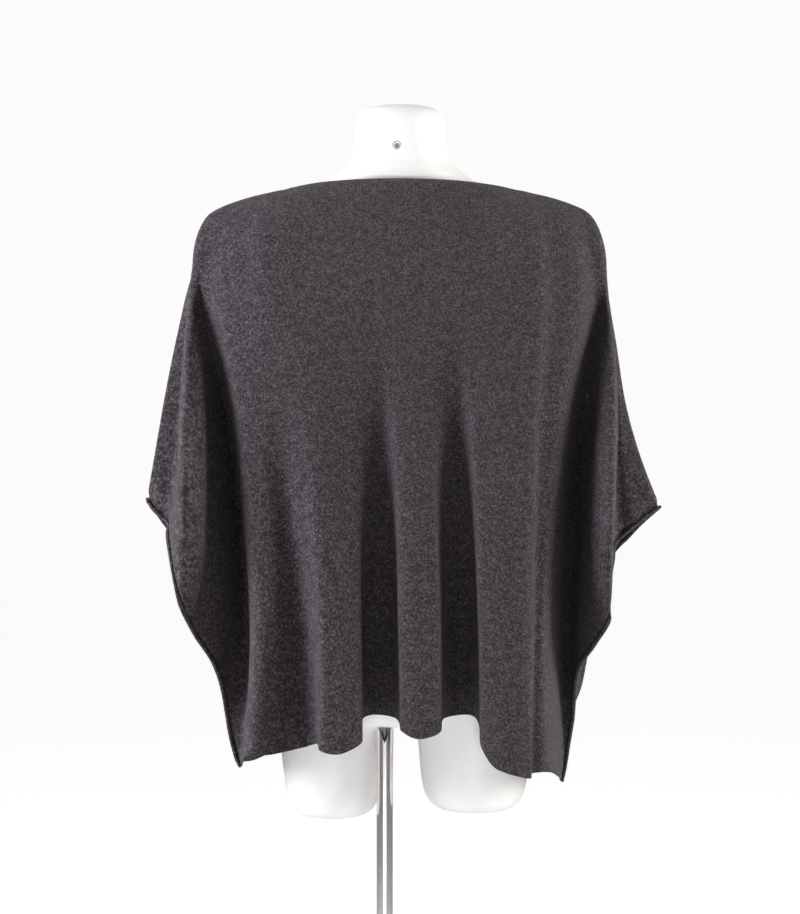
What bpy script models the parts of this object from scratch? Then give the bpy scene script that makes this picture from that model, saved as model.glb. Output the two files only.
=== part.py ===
"""Knitted poncho sweater on a torso display form.

Two wide panels of fine jersey, a back and a front, meet along the shoulders and down the top line
of each wing, and again in a short seam at each side above the hem. Between those seams the wings
stand open as armholes with a curled edge. The garment hangs from the shoulders of a headless,
armless form with two short thigh stumps, which a tube carries on a round base plate.

Metres, +Z up. The back of the garment faces +Y, its left in the tables is +X, and the origin is the
middle of the base plate's underside.
"""

import math
from typing import NamedTuple

import bmesh
import bpy
import numpy as np
from mathutils import Matrix

# Cloth
WALL = 0.002
SEAM_GAP = 0.0003
ROLL_RADIUS = 0.0028
HEM_RADIUS = 0.0011
ROLL_STEPS = 6
NECK_HALF = 0.135
NECK_BACK_DEPTH = 0.066
NECK_FRONT_DEPTH = 0.086
NECK_FRONT_DROP = 0.022

# How finely the cloth is cut up
ROWS = 18
COLUMN_PITCH = 0.025
TOP_CROWDING = 1.3
SECTION_TENSION = 0.6
ARCH_STEPS = (0.02, 0.10, 0.28, 0.58)
ROUND_AT_NECK = 0.35
HEM_BLEND = 0.12
SHARP_ANGLE = 50

# Form
FORM_SIDES = 32
THIGH_SIDES = 20
NECK_FLAT_SIZE = 0.1
NECK_FLAT_DEPTH = 0.0535
NECK_FLAT_FOOT = 1.4777
HOLE_RADIUS = 0.0052
HOLE_DEPTH = 0.014
HOLE_X = 0.0035
HOLE_HEIGHT = 1.4977
BUSH_RADIUS = 0.0049
BUSH_BORE = 0.0026
BUSH_LENGTH = 0.009
BUSH_SIDES = 16

# Stand
TUBE_RADIUS = 0.0095
TUBE_BORE = 0.0078
TUBE_X = 0.018
TUBE_Y = 0.052
TUBE_TOP = 0.8117
TUBE_FLARE = 0.0104
TUBE_LIP = 0.004
TUBE_TAPER = 0.06
TUBE_SIDES = 24
NOTCH_DEPTH = 0.018
NOTCH_HALF = 0.0082
PLATE_RADIUS = 0.165
PLATE_THICKNESS = 0.008
PLATE_CHAMFER = 0.0025
PLATE_EDGE = 0.001
PLATE_SIDES = 48
COLLAR_RADIUS = 0.0175
COLLAR_HEIGHT = 0.028
COLLAR_CHAMFER = 0.003
REST_GAP = 0.0003
PAST = 0.001


class Fold(NamedTuple):
    """A fold line: where it leaves the top, then its place at each fifth of its drop.

    One that opens lower down lies level with its neighbours at the top and has its own depth from
    that share of its length on.
    """

    name: str
    top_x: float
    x1: float
    y1: float
    x2: float
    y2: float
    x3: float
    y3: float
    x4: float
    y4: float
    opens: float = 0.0


class Edge(NamedTuple):
    """A point of the lower edge: its place across the panel, counted in folds, and in space."""

    fold: float
    x: float
    y: float
    z: float


class Ring(NamedTuple):
    """A level section of the form."""

    z: float
    middle: float
    half_width: float
    back: float
    front: float


# The top line of the two panels, as (x, z): shoulder, neck edge, shoulder.
TOP_LINE = (
    (-0.2270, 1.4180),
    (-0.2150, 1.4260),
    (-0.1980, 1.4335),
    (-0.1680, 1.4425),
    (-0.1350, 1.4500),
    (-0.0960, 1.4540),
    (-0.0480, 1.4562),
    (0.0000, 1.4568),
    (0.0660, 1.4560),
    (0.1050, 1.4540),
    (0.1350, 1.4500),
    (0.1680, 1.4425),
    (0.1980, 1.4335),
    (0.2150, 1.4260),
    (0.2240, 1.4205),
)

# The seam along the top of each wing, from the shoulder to the wing's corner, as (x, y, z).
LEFT_WING_SEAM = (
    (0.2240, 0.000, 1.4205),
    (0.2360, -0.0002, 1.3960),
    (0.2440, -0.002, 1.3600),
    (0.2540, -0.006, 1.3340),
    (0.2655, -0.010, 1.2867),
    (0.2800, -0.012, 1.2181),
    (0.2922, -0.012, 1.1494),
    (0.3035, -0.010, 1.0820),
)
RIGHT_WING_SEAM = (
    (-0.2270, 0.000, 1.4180),
    (-0.2370, -0.0002, 1.3960),
    (-0.2430, -0.002, 1.3600),
    (-0.2505, -0.006, 1.3180),
    (-0.2600, -0.010, 1.2650),
    (-0.2710, -0.012, 1.1960),
    (-0.2880, -0.012, 1.1340),
    (-0.3115, -0.010, 1.0725),
)

BACK_FOLDS = (
    Fold("left wing strip", 0.218, 0.2462, 0.012, 0.2560, -0.001, 0.2620, -0.003, 0.2670, -0.001),
    Fold("left wing ridge", 0.212, 0.2420, 0.052, 0.2455, 0.094, 0.2475, 0.124, 0.2480, 0.138),
    Fold("left wing valley", 0.190, 0.2285, 0.046, 0.2030, 0.024, 0.1870, 0.020, 0.1810, 0.014, 0.40),
    Fold("left body ridge", 0.166, 0.2110, 0.079, 0.1885, 0.100, 0.1755, 0.114, 0.1690, 0.122),
    Fold("left side", 0.154, 0.1850, 0.093, 0.1680, 0.113, 0.1520, 0.126, 0.1440, 0.130),
    Fold("left hollow", 0.140, 0.1590, 0.106, 0.1430, 0.117, 0.1260, 0.120, 0.1110, 0.119),
    Fold("left pleat, outer", 0.110, 0.1110, 0.113, 0.1020, 0.128, 0.0950, 0.143, 0.0888, 0.153),
    Fold("left pleat, inner", 0.072, 0.0716, 0.115, 0.0600, 0.122, 0.0510, 0.129, 0.0465, 0.137),
    Fold("middle valley, left", 0.050, 0.0490, 0.115, 0.0410, 0.120, 0.0370, 0.112, 0.0430, 0.101),
    Fold("middle valley, right", 0.026, 0.0260, 0.115, 0.0200, 0.118, 0.0110, 0.107, 0.0060, 0.098),
    Fold("middle pleat, left", 0.006, 0.0060, 0.116, 0.0050, 0.124, 0.0010, 0.136, -0.0005, 0.146),
    Fold("middle pleat, right", -0.028, -0.0290, 0.116, -0.0340, 0.124, -0.0375, 0.136, -0.0420, 0.146),
    Fold("right valley, left", -0.048, -0.0485, 0.116, -0.0500, 0.119, -0.0510, 0.111, -0.0545, 0.101),
    Fold("right valley, right", -0.066, -0.0680, 0.116, -0.0700, 0.117, -0.0780, 0.107, -0.0860, 0.097),
    Fold("right pleat, inner", -0.082, -0.0835, 0.116, -0.0860, 0.126, -0.0900, 0.138, -0.0930, 0.147),
    Fold("right pleat, outer", -0.142, -0.1610, 0.107, -0.1520, 0.122, -0.1480, 0.138, -0.1445, 0.148),
    Fold("right step", -0.156, -0.1770, 0.095, -0.1630, 0.111, -0.1570, 0.125, -0.1535, 0.133),
    Fold("right body ridge", -0.168, -0.2110, 0.079, -0.1880, 0.100, -0.1740, 0.114, -0.1675, 0.122),
    Fold("right wing valley", -0.192, -0.2305, 0.044, -0.2150, 0.022, -0.2020, 0.020, -0.1940, 0.014, 0.48),
    Fold("right wing ridge", -0.212, -0.2430, 0.050, -0.2455, 0.090, -0.2430, 0.120, -0.2400, 0.136),
    Fold("right wing strip", -0.219, -0.2450, 0.010, -0.2550, -0.002, -0.2600, -0.003, -0.2555, 0.000),
)

BACK_EDGE = (
    Edge(0.00, 0.3035, -0.0100, 1.0820),
    Edge(0.50, 0.2934, -0.0020, 1.0682),
    Edge(1.00, 0.2765, 0.0120, 1.0527),
    Edge(1.35, 0.2732, 0.0560, 1.0417),
    Edge(1.65, 0.2687, 0.0880, 1.0281),
    Edge(2.00, 0.2565, 0.1180, 0.9780),
    Edge(2.20, 0.2485, 0.1080, 0.9520),
    Edge(2.40, 0.2370, 0.0760, 0.9230),
    Edge(2.58, 0.2180, 0.0480, 0.8879),
    Edge(2.76, 0.2070, 0.0120, 0.8396),
    Edge(2.88, 0.2010, 0.0042, 0.7990),
    Edge(3.00, 0.1925, 0.0042, 0.7650),
    Edge(3.12, 0.1895, 0.0160, 0.7660),
    Edge(4.00, 0.1780, 0.1250, 0.7873),
    Edge(5.00, 0.1490, 0.1330, 0.7900),
    Edge(6.00, 0.1090, 0.1150, 0.7970),
    Edge(6.50, 0.0950, 0.1280, 0.8020),
    Edge(7.00, 0.0900, 0.1580, 0.7970),
    Edge(7.50, 0.0690, 0.1590, 0.7935),
    Edge(8.00, 0.0450, 0.1470, 0.8044),
    Edge(8.50, 0.0450, 0.1250, 0.8150),
    Edge(9.00, 0.0430, 0.1000, 0.8284),
    Edge(10.00, 0.0050, 0.0980, 0.8284),
    Edge(10.50, -0.0005, 0.1250, 0.8230),
    Edge(11.00, -0.0020, 0.1480, 0.8186),
    Edge(11.50, -0.0205, 0.1570, 0.8105),
    Edge(12.00, -0.0445, 0.1490, 0.8165),
    Edge(12.50, -0.0480, 0.1250, 0.8277),
    Edge(13.00, -0.0545, 0.1000, 0.8296),
    Edge(14.00, -0.0870, 0.0970, 0.8296),
    Edge(14.50, -0.0920, 0.1230, 0.8200),
    Edge(15.00, -0.0940, 0.1490, 0.7983),
    Edge(15.30, -0.1060, 0.1575, 0.7800),
    Edge(15.60, -0.1190, 0.1610, 0.7730),
    Edge(16.00, -0.1420, 0.1540, 0.7661),
    Edge(17.00, -0.1500, 0.1440, 0.7700),
    Edge(18.00, -0.1730, 0.1260, 0.7690),
    Edge(18.88, -0.1925, 0.0160, 0.7490),
    Edge(19.00, -0.1945, 0.0042, 0.7480),
    Edge(19.12, -0.1990, 0.0042, 0.7850),
    Edge(19.24, -0.2050, 0.0120, 0.8240),
    Edge(19.45, -0.2090, 0.0480, 0.8790),
    Edge(19.70, -0.2240, 0.0860, 0.9120),
    Edge(20.00, -0.2385, 0.1180, 0.9420),
    Edge(20.45, -0.2430, 0.0960, 0.9870),
    Edge(20.75, -0.2507, 0.0580, 1.0135),
    Edge(21.00, -0.2566, 0.0100, 1.0275),
    Edge(21.50, -0.2828, -0.0020, 1.0521),
    Edge(22.00, -0.3115, -0.0100, 1.0725),
)

FRONT_FOLDS = (
    Fold("left wing ridge", 0.212, 0.2440, -0.045, 0.2475, -0.068, 0.2530, -0.086, 0.2600, -0.098),
    Fold("left wing valley", 0.190, 0.2255, -0.032, 0.2060, -0.026, 0.1950, -0.022, 0.1900, -0.015, 0.40),
    Fold("left body ridge", 0.166, 0.2120, -0.085, 0.1950, -0.114, 0.1830, -0.127, 0.1780, -0.135),
    Fold("left hollow", 0.142, 0.1600, -0.112, 0.1480, -0.126, 0.1380, -0.123, 0.1310, -0.117),
    Fold("left pleat, outer", 0.110, 0.1080, -0.126, 0.1040, -0.141, 0.0980, -0.150, 0.0930, -0.157),
    Fold("left pleat, inner", 0.068, 0.0660, -0.130, 0.0600, -0.142, 0.0530, -0.149, 0.0470, -0.154),
    Fold("left valley, outer", 0.046, 0.0450, -0.130, 0.0400, -0.136, 0.0380, -0.126, 0.0400, -0.112),
    Fold("left valley, inner", 0.024, 0.0230, -0.130, 0.0190, -0.133, 0.0150, -0.122, 0.0120, -0.109),
    Fold("middle pleat, left", 0.004, 0.0040, -0.130, 0.0010, -0.139, 0.0010, -0.145, 0.0000, -0.150),
    Fold("middle pleat, right", -0.022, -0.0230, -0.130, -0.0290, -0.139, -0.0350, -0.145, -0.0390, -0.149),
    Fold("right valley", -0.050, -0.0510, -0.129, -0.0560, -0.132, -0.0600, -0.122, -0.0640, -0.111),
    Fold("right pleat, inner", -0.082, -0.0850, -0.128, -0.0880, -0.140, -0.0920, -0.149, -0.0970, -0.155),
    Fold("right pleat, outer", -0.134, -0.1400, -0.119, -0.1420, -0.134, -0.1430, -0.143, -0.1440, -0.149),
    Fold("right hollow", -0.152, -0.1760, -0.107, -0.1680, -0.120, -0.1640, -0.124, -0.1620, -0.123),
    Fold("right body ridge", -0.168, -0.2140, -0.083, -0.1980, -0.110, -0.1870, -0.124, -0.1820, -0.133),
    Fold("right wing valley", -0.192, -0.227, -0.033, -0.213, -0.026, -0.203, -0.022, -0.197, -0.015, 0.32),
    Fold("right wing ridge", -0.212, -0.2460, -0.048, -0.2510, -0.068, -0.2550, -0.085, -0.2590, -0.095),
)

FRONT_EDGE = (
    Edge(0.00, 0.3035, -0.0100, 1.0820),
    Edge(0.50, 0.2850, -0.0620, 1.0480),
    Edge(1.00, 0.2640, -0.1000, 1.0150),
    Edge(1.20, 0.2570, -0.0980, 0.9790),
    Edge(1.40, 0.2380, -0.0780, 0.9280),
    Edge(1.58, 0.2190, -0.0480, 0.8830),
    Edge(1.76, 0.2070, -0.0120, 0.8396),
    Edge(1.88, 0.2010, -0.0042, 0.7990),
    Edge(2.00, 0.1925, -0.0042, 0.7650),
    Edge(2.12, 0.1895, -0.0160, 0.7640),
    Edge(3.00, 0.1770, -0.1340, 0.7540),
    Edge(4.00, 0.1280, -0.1130, 0.7830),
    Edge(5.00, 0.0880, -0.1610, 0.7940),
    Edge(6.00, 0.0430, -0.1560, 0.8010),
    Edge(7.00, 0.0400, -0.1090, 0.8150),
    Edge(8.00, 0.0100, -0.1070, 0.8160),
    Edge(9.00, -0.0010, -0.1500, 0.8080),
    Edge(9.50, -0.0200, -0.1560, 0.8040),
    Edge(10.00, -0.0410, -0.1500, 0.8080),
    Edge(11.00, -0.0670, -0.1090, 0.8160),
    Edge(12.00, -0.1010, -0.1590, 0.8030),
    Edge(13.00, -0.1450, -0.1530, 0.7900),
    Edge(14.00, -0.1620, -0.1220, 0.7830),
    Edge(15.00, -0.1810, -0.1360, 0.7720),
    Edge(15.88, -0.1925, -0.0160, 0.7490),
    Edge(16.00, -0.1945, -0.0042, 0.7480),
    Edge(16.12, -0.1990, -0.0042, 0.7850),
    Edge(16.24, -0.2050, -0.0120, 0.8240),
    Edge(16.45, -0.2180, -0.0380, 0.8560),
    Edge(16.70, -0.2340, -0.0680, 0.9250),
    Edge(17.00, -0.2540, -0.0930, 0.9950),
    Edge(17.45, -0.2800, -0.0560, 1.0370),
    Edge(18.00, -0.3115, -0.0100, 1.0725),
)

TORSO_RINGS = (
    Ring(1.5490, 0.0, 0.0280, 0.0280, 0.0280),
    Ring(1.5470, 0.0, 0.0410, 0.0410, 0.0410),
    Ring(1.5420, 0.0, 0.0490, 0.0490, 0.0490),
    Ring(1.5330, 0.0, 0.0530, 0.0540, 0.0540),
    Ring(1.5180, 0.0, 0.0546, 0.0562, 0.0570),
    Ring(1.4990, 0.0, 0.0560, 0.0572, 0.0585),
    Ring(1.4870, 0.0, 0.0590, 0.0575, 0.0595),
    Ring(1.4780, 0.0, 0.0660, 0.0580, 0.0610),
    Ring(1.4700, 0.0, 0.0760, 0.0590, 0.0630),
    Ring(1.4620, 0.0, 0.0865, 0.0580, 0.0590),
    Ring(1.4560, 0.0, 0.1010, 0.0560, 0.0590),
    Ring(1.4490, 0.0, 0.1240, 0.0560, 0.0610),
    Ring(1.4413, 0.0, 0.1650, 0.0550, 0.0600),
    Ring(1.4325, 0.0, 0.1890, 0.0590, 0.0640),
    Ring(1.4220, 0.0, 0.2010, 0.0670, 0.0720),
    Ring(1.4080, 0.0, 0.2130, 0.0760, 0.0820),
    Ring(1.3860, 0.0, 0.2140, 0.0850, 0.0910),
    Ring(1.3600, 0.0, 0.2060, 0.0930, 0.0980),
    Ring(1.3250, 0.0, 0.1860, 0.0985, 0.1060),
    Ring(1.2800, 0.0, 0.1660, 0.1005, 0.1150),
    Ring(1.2250, 0.0, 0.1520, 0.0960, 0.1150),
    Ring(1.1600, 0.0, 0.1400, 0.0850, 0.1010),
    Ring(1.1000, 0.0, 0.1330, 0.0780, 0.0920),
    Ring(1.0400, -0.001, 0.1410, 0.0790, 0.0900),
    Ring(0.9800, -0.002, 0.1560, 0.0850, 0.0900),
    Ring(0.9200, -0.003, 0.1650, 0.0880, 0.0890),
    Ring(0.8750, -0.003, 0.1660, 0.0860, 0.0870),
    Ring(0.8450, -0.002, 0.1560, 0.0820, 0.0820),
    Ring(0.8250, 0.000, 0.1150, 0.0770, 0.0740),
    Ring(0.8120, 0.000, 0.0560, 0.0700, 0.0640),
)

LEFT_THIGH_RINGS = (
    Ring(0.9000, 0.079, 0.0780, 0.0790, 0.0790),
    Ring(0.8500, 0.080, 0.0790, 0.0800, 0.0790),
    Ring(0.8150, 0.080, 0.0660, 0.0780, 0.0770),
    Ring(0.7850, 0.080, 0.0630, 0.0760, 0.0750),
    Ring(0.7500, 0.080, 0.0590, 0.0720, 0.0720),
    Ring(0.7230, 0.080, 0.0545, 0.0690, 0.0690),
    Ring(0.7090, 0.080, 0.0480, 0.0620, 0.0620),
    Ring(0.7020, 0.080, 0.0370, 0.0500, 0.0500),
)

RIGHT_THIGH_RINGS = (
    Ring(0.9000, -0.084, 0.0780, 0.0790, 0.0790),
    Ring(0.8500, -0.085, 0.0790, 0.0800, 0.0790),
    Ring(0.8150, -0.088, 0.0700, 0.0780, 0.0770),
    Ring(0.7850, -0.089, 0.0670, 0.0760, 0.0750),
    Ring(0.7500, -0.089, 0.0640, 0.0720, 0.0720),
    Ring(0.7280, -0.089, 0.0595, 0.0690, 0.0690),
    Ring(0.7150, -0.089, 0.0510, 0.0600, 0.0600),
    Ring(0.7080, -0.089, 0.0370, 0.0460, 0.0460),
)


# ---------------------------------------------------------------- curves


def smooth_curve(knots, points, at):
    """Points at `at` on the smooth curve through `points` at the rising values `knots`."""
    knots = np.asarray(knots, float)
    points = np.asarray(points, float)
    at = np.asarray(at, float)
    steps = np.diff(knots)
    slopes = np.diff(points, axis=0) / steps[:, None]
    tangents = np.empty_like(points)
    before, after = steps[:-1, None], steps[1:, None]
    tangents[1:-1] = (slopes[:-1] * after + slopes[1:] * before) / (before + after)
    tangents[0] = 1.5 * slopes[0] - 0.5 * tangents[1]
    tangents[-1] = 1.5 * slopes[-1] - 0.5 * tangents[-2]
    place = np.clip(np.searchsorted(knots, at, side="right") - 1, 0, len(steps) - 1)
    step = steps[place][:, None]
    t = ((at - knots[place]) / steps[place])[:, None]
    return (
        (2 * t**3 - 3 * t**2 + 1) * points[place]
        + (t**3 - 2 * t**2 + t) * step * tangents[place]
        + (3 * t**2 - 2 * t**3) * points[place + 1]
        + (t**3 - t**2) * step * tangents[place + 1]
    )


def chord_knots(points, power=1.0):
    """Curve values for points, spaced by the distances between them raised to a power."""
    gaps = np.linalg.norm(np.diff(points, axis=0), axis=1)
    return np.concatenate([[0.0], np.cumsum(np.maximum(gaps, 1e-6) ** power)])


def even_points(points, fractions):
    """Points at the given fractions of the length of the curve through `points`."""
    knots = chord_knots(points, 0.5)
    fine = smooth_curve(knots, points, np.linspace(knots[0], knots[-1], 400))
    length = chord_knots(fine)
    wanted = np.asarray(fractions) * length[-1]
    return np.stack([np.interp(wanted, length, fine[:, k]) for k in range(3)], axis=1)


def unit(vectors):
    return vectors / np.maximum(np.linalg.norm(vectors, axis=-1, keepdims=True), 1e-12)


# ---------------------------------------------------------------- cloth


def top_point(x, side):
    """The point of the top line at x; side is +1 for the back panel and -1 for the front."""
    line = np.array(sorted(TOP_LINE))
    z = float(smooth_curve(line[:, 0], line[:, 1:], [x])[0, 0])
    across = min(abs(x) / NECK_HALF, 1.0)
    bow = (1.0 - across**2) ** 0.75
    if side > 0:
        return np.array([x, NECK_BACK_DEPTH * bow, z])
    return np.array([x, -NECK_FRONT_DEPTH * bow, z - NECK_FRONT_DROP * bow**2.5])


def fold_line(fold, end, side, fractions):
    """Points down one fold line from the top line to its end on the lower edge."""
    top = top_point(fold.top_x, side)
    fifths = np.array([
        (fold.x1, fold.y1),
        (fold.x2, fold.y2),
        (fold.x3, fold.y3),
        (fold.x4, fold.y4),
    ])
    drop = end[2] - top[2]
    points = [np.array([x, y, top[2] + drop * (k + 1) / 5]) for k, (x, y) in enumerate(fifths)]
    over_shoulder = min(max((abs(fold.top_x) - 0.7 * NECK_HALF) / (0.3 * NECK_HALF), 0.0), 1.0)
    roundness = ROUND_AT_NECK + (1 - ROUND_AT_NECK) * over_shoulder
    bend = []
    for t in ARCH_STEPS:
        arch = math.sqrt(1 - (1 - t) ** 2)
        out = roundness * arch + (1 - roundness) * t
        share = np.array([out, out, t])
        bend.append(top + (points[0] - top) * share)
    return even_points(np.array([top, *bend, *points, end]), fractions)


def lay_panel(folds, edge, side, fractions):
    """The fold lines of one panel, as rows of points, from its left seam to its right seam."""
    edge = np.array(edge)
    ends = edge[np.isclose(edge[:, 0], np.round(edge[:, 0]))][:, 1:]
    lines = [even_points(np.array(LEFT_WING_SEAM), fractions)]
    lines += [fold_line(f, end, side, fractions) for f, end in zip(folds, ends[1:-1])]
    lines.append(even_points(np.array(RIGHT_WING_SEAM), fractions))
    for k, fold in enumerate(folds, 1):
        if fold.opens:
            opened = np.clip(fractions / fold.opens, 0.0, 1.0)[:, None]
            opened = opened**2 * (3 - 2 * opened)
            level = (lines[k - 1] + lines[k + 1]) / 2
            lines[k] = level + (lines[k] - level) * opened
    return np.stack(lines, axis=1)


def column_places(edge):
    """Places across a panel, counted in folds, about one pitch apart along the lower edge."""
    edge = np.array(edge)
    places = [0.0]
    for k in range(int(edge[-1, 0])):
        stretch = edge[(edge[:, 0] >= k - 1e-6) & (edge[:, 0] <= k + 1 + 1e-6)][:, 1:]
        count = max(2, round(chord_knots(stretch)[-1] / COLUMN_PITCH))
        places += [k + (i + 1) / count for i in range(count)]
    return np.array(places)


def cloth_surface(lines, before, after, folds, edge, side, fractions):
    """The panel's middle surface, as rows and columns of points.

    `before` and `after` are the neighbouring fold lines on the other panel, so that the cloth runs
    smoothly over the two seams.
    """
    edge = np.array(edge)
    places = column_places(edge)
    rows = []
    for row, left, right in zip(lines, before, after):
        stations = np.vstack([left, row, right])
        knots = chord_knots(stations, SECTION_TENSION)
        whole = np.minimum(places.astype(int), len(row) - 2)
        at = knots[whole + 1] + (places - whole) * (knots[whole + 2] - knots[whole + 1])
        rows.append(smooth_curve(knots, stations, at))
    surface = np.array(rows)
    low = smooth_curve(edge[:, 0], edge[:, 1:], places)
    tops = [LEFT_WING_SEAM[0][0], *(f.top_x for f in folds), RIGHT_WING_SEAM[0][0]]
    top_x = np.interp(places, np.arange(len(tops)), tops)
    high = np.array([top_point(x, side) for x in top_x])
    down = np.asarray(fractions)[:, None, None]
    surface += (low - surface[-1]) * down**3
    surface += (high - surface[0]) * (1 - down) ** 6
    return surface


def grid_normals(surface, side):
    """Outward unit normals of a grid of points; the two seams keep theirs square to +Y."""
    along = np.gradient(surface, axis=1)
    down = np.gradient(surface, axis=0)
    normals = unit(np.cross(down, along)) * side
    for column in (0, -1):
        normals[:, column, 1] = 0.0
        run = down[:, column].copy()
        across = unit(np.cross(run, np.array([0.0, 1.0, 0.0])))
        outward = np.sign(surface[:, column, :1])
        across *= outward * np.sign(across[:, :1])
        normals[:, column] = across
    shoulder = np.isclose(surface[0, :, 1], 0.0, atol=1e-6)
    line = np.gradient(surface[0], axis=0)
    line[:, 1] = 0.0
    upward = unit(np.stack([-line[:, 2], np.zeros(len(line)), line[:, 0]], axis=1))
    upward *= np.sign(upward[:, 2:])
    normals[0, shoulder] = upward[shoulder]
    for column in (0, -1):
        corner = unit(normals[0, column] + normals[1, column])
        corner[1] = 0.0
        normals[0, column] = unit(corner)
    return normals


def edge_frames(surface, normals):
    """Directions out of the cloth and square to it all along the lower edge."""
    run = np.gradient(surface[-1], axis=0)
    run[0] = run[-1] = (0.0, 1.0, 0.0)
    run = unit(run)
    face = unit(normals[-1] - run * np.sum(normals[-1] * run, axis=1, keepdims=True))
    out = np.cross(run, face)
    down = surface[-1] - surface[-2]
    out *= np.sign(np.sum(out * down, axis=1, keepdims=True))
    return out, face


def wing_strips(folds):
    """Number of strips from a side seam to the corner where the armhole's edge meets the hem."""
    return next(k for k, fold in enumerate(folds, 1) if fold.name.endswith("wing valley"))


def roll_radii(places, strips):
    """Radius of the edge at each column: curled along the armholes, thin along the hem."""
    into_hem = np.minimum(places - strips, places[-1] - strips - places)
    share = np.clip(1.0 - into_hem / HEM_BLEND, 0.0, 1.0)
    return HEM_RADIUS + (ROLL_RADIUS - HEM_RADIUS) * share


def wall_rings(surface, side, places, strips):
    """Closed sections through the cloth's wall, one for each column."""
    normals = grid_normals(surface, side)
    out, face = edge_frames(surface, normals)
    radii = roll_radii(places, strips)
    half = WALL / 2
    seam = np.array([0.0, side * SEAM_GAP / 2, 0.0])
    at_shoulder = np.isclose(surface[0, :, 1], 0.0, atol=1e-6)
    rings = []
    for j in range(surface.shape[1]):
        column = surface[:, j].copy()
        if j in (0, surface.shape[1] - 1):
            column += seam
        elif at_shoulder[j]:
            column[0] += seam
        normal = normals[:, j]
        top_out = unit(column[0] - column[1])
        tip = column[0] + (0.0 if at_shoulder[j] else half) * top_out
        start = math.asin(min(half / radii[j], 1.0))
        middle = column[-1] + out[j] * radii[j] * math.cos(start)
        turns = start + (2 * math.pi - 2 * start) * np.arange(1, ROLL_STEPS + 1) / (ROLL_STEPS + 1)
        roll = middle - radii[j] * (
            np.cos(turns)[:, None] * out[j] - np.sin(turns)[:, None] * face[j]
        )
        outer = column + normal * half
        inner = column - normal * half
        outer[-1] = column[-1] + face[j] * half
        inner[-1] = column[-1] - face[j] * half
        rings.append(np.vstack([tip[None], outer, roll, inner[::-1]]))
    return rings


def build_wall(name, rings, material):
    """A closed cloth wall lofted through its sections, with both ends closed.

    The last strip's diagonals are mirrored, so that both top corners stay clear of their end faces.
    """
    mesh = bpy.data.meshes.new(name)
    bm = bmesh.new()
    grid = [[bm.verts.new(point) for point in ring] for ring in rings]
    count = len(rings[0])
    half = (count + 1) // 2
    for left, right in zip(grid, grid[1:]):
        mirrored = right is grid[-1]
        for i in range(count):
            k = (i + 1) % count
            if (i < half) != mirrored:
                bm.faces.new((left[i], left[k], right[k]))
                bm.faces.new((left[i], right[k], right[i]))
            else:
                bm.faces.new((left[i], left[k], right[i]))
                bm.faces.new((left[k], right[k], right[i]))
    for ring in (grid[0], grid[-1]):
        bm.faces.new((ring[0], ring[1], ring[-1]))
        for i in range(1, half - 1):
            a, b, c, d = ring[i], ring[i + 1], ring[count - i - 1], ring[count - i]
            bm.faces.new((a, b, d))
            if c is not b:
                bm.faces.new((b, c, d))
    bmesh.ops.recalc_face_normals(bm, faces=bm.faces)
    bm.to_mesh(mesh)
    bm.free()
    return place(name, mesh, material)


def build_cloth(material):
    """The back and the front panel."""
    fractions = (np.arange(ROWS + 1) / ROWS) ** TOP_CROWDING
    back_lines = lay_panel(BACK_FOLDS, BACK_EDGE, 1, fractions)
    front_lines = lay_panel(FRONT_FOLDS, FRONT_EDGE, -1, fractions)
    panels = (
        ("back_panel", BACK_FOLDS, BACK_EDGE, 1, back_lines, front_lines),
        ("front_panel", FRONT_FOLDS, FRONT_EDGE, -1, front_lines, back_lines),
    )
    for name, folds, edge, side, lines, others in panels:
        surface = cloth_surface(
            lines, others[:, 1], others[:, -2], folds, edge, side, fractions
        )
        rings = wall_rings(surface, side, column_places(edge), wing_strips(folds))
        build_wall(name, rings, material)


# ---------------------------------------------------------------- form and stand


def place(name, mesh, material):
    """Link a finished mesh as a node of its own."""
    mesh.materials.append(material)
    mesh.shade_smooth()
    mesh.set_sharp_from_angle(angle=math.radians(SHARP_ANGLE))
    node = bpy.data.objects.new(name, mesh)
    bpy.context.scene.collection.objects.link(node)
    return node


def ring_points(ring, sides, turn):
    """Points round a level section, with its own depth to the back and to the front."""
    points = []
    for i in range(sides):
        angle = 2 * math.pi * (i + turn) / sides
        depth = ring.back if math.sin(angle) > 0 else ring.front
        points.append((
            ring.middle + ring.half_width * math.cos(angle),
            depth * math.sin(angle),
            ring.z,
        ))
    return points


def loft(rings, sides, turn=0.0):
    """A closed mesh through level sections, capped at both ends; turn is part of one side."""
    bm = bmesh.new()
    grid = [[bm.verts.new(p) for p in ring_points(ring, sides, turn)] for ring in rings]
    for upper, lower in zip(grid, grid[1:]):
        for i in range(sides):
            k = (i + 1) % sides
            bm.faces.new((upper[i], upper[k], lower[k], lower[i]))
    bm.faces.new(grid[0])
    bm.faces.new(grid[-1])
    bmesh.ops.recalc_face_normals(bm, faces=bm.faces)
    return bm


def turned(profile, sides):
    """A closed turned mesh from (radius, height) points; a bored one comes back to its start."""
    bm = bmesh.new()
    bored = all(radius > 0 for radius, _ in profile)
    chain = [bm.verts.new((radius, 0.0, height)) for radius, height in profile]
    edges = [bm.edges.new(pair) for pair in zip(chain, chain[1:])]
    if bored:
        edges.append(bm.edges.new((chain[-1], chain[0])))
    bmesh.ops.spin(
        bm, geom=chain + edges, cent=(0, 0, 0), axis=(0, 0, 1),
        angle=2 * math.pi, steps=sides, use_merge=True,
    )
    bmesh.ops.remove_doubles(bm, verts=bm.verts, dist=1e-6)
    bmesh.ops.recalc_face_normals(bm, faces=bm.faces)
    return bm


def to_mesh(bm, name):
    mesh = bpy.data.meshes.new(name)
    bm.to_mesh(mesh)
    bm.free()
    return mesh


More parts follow.
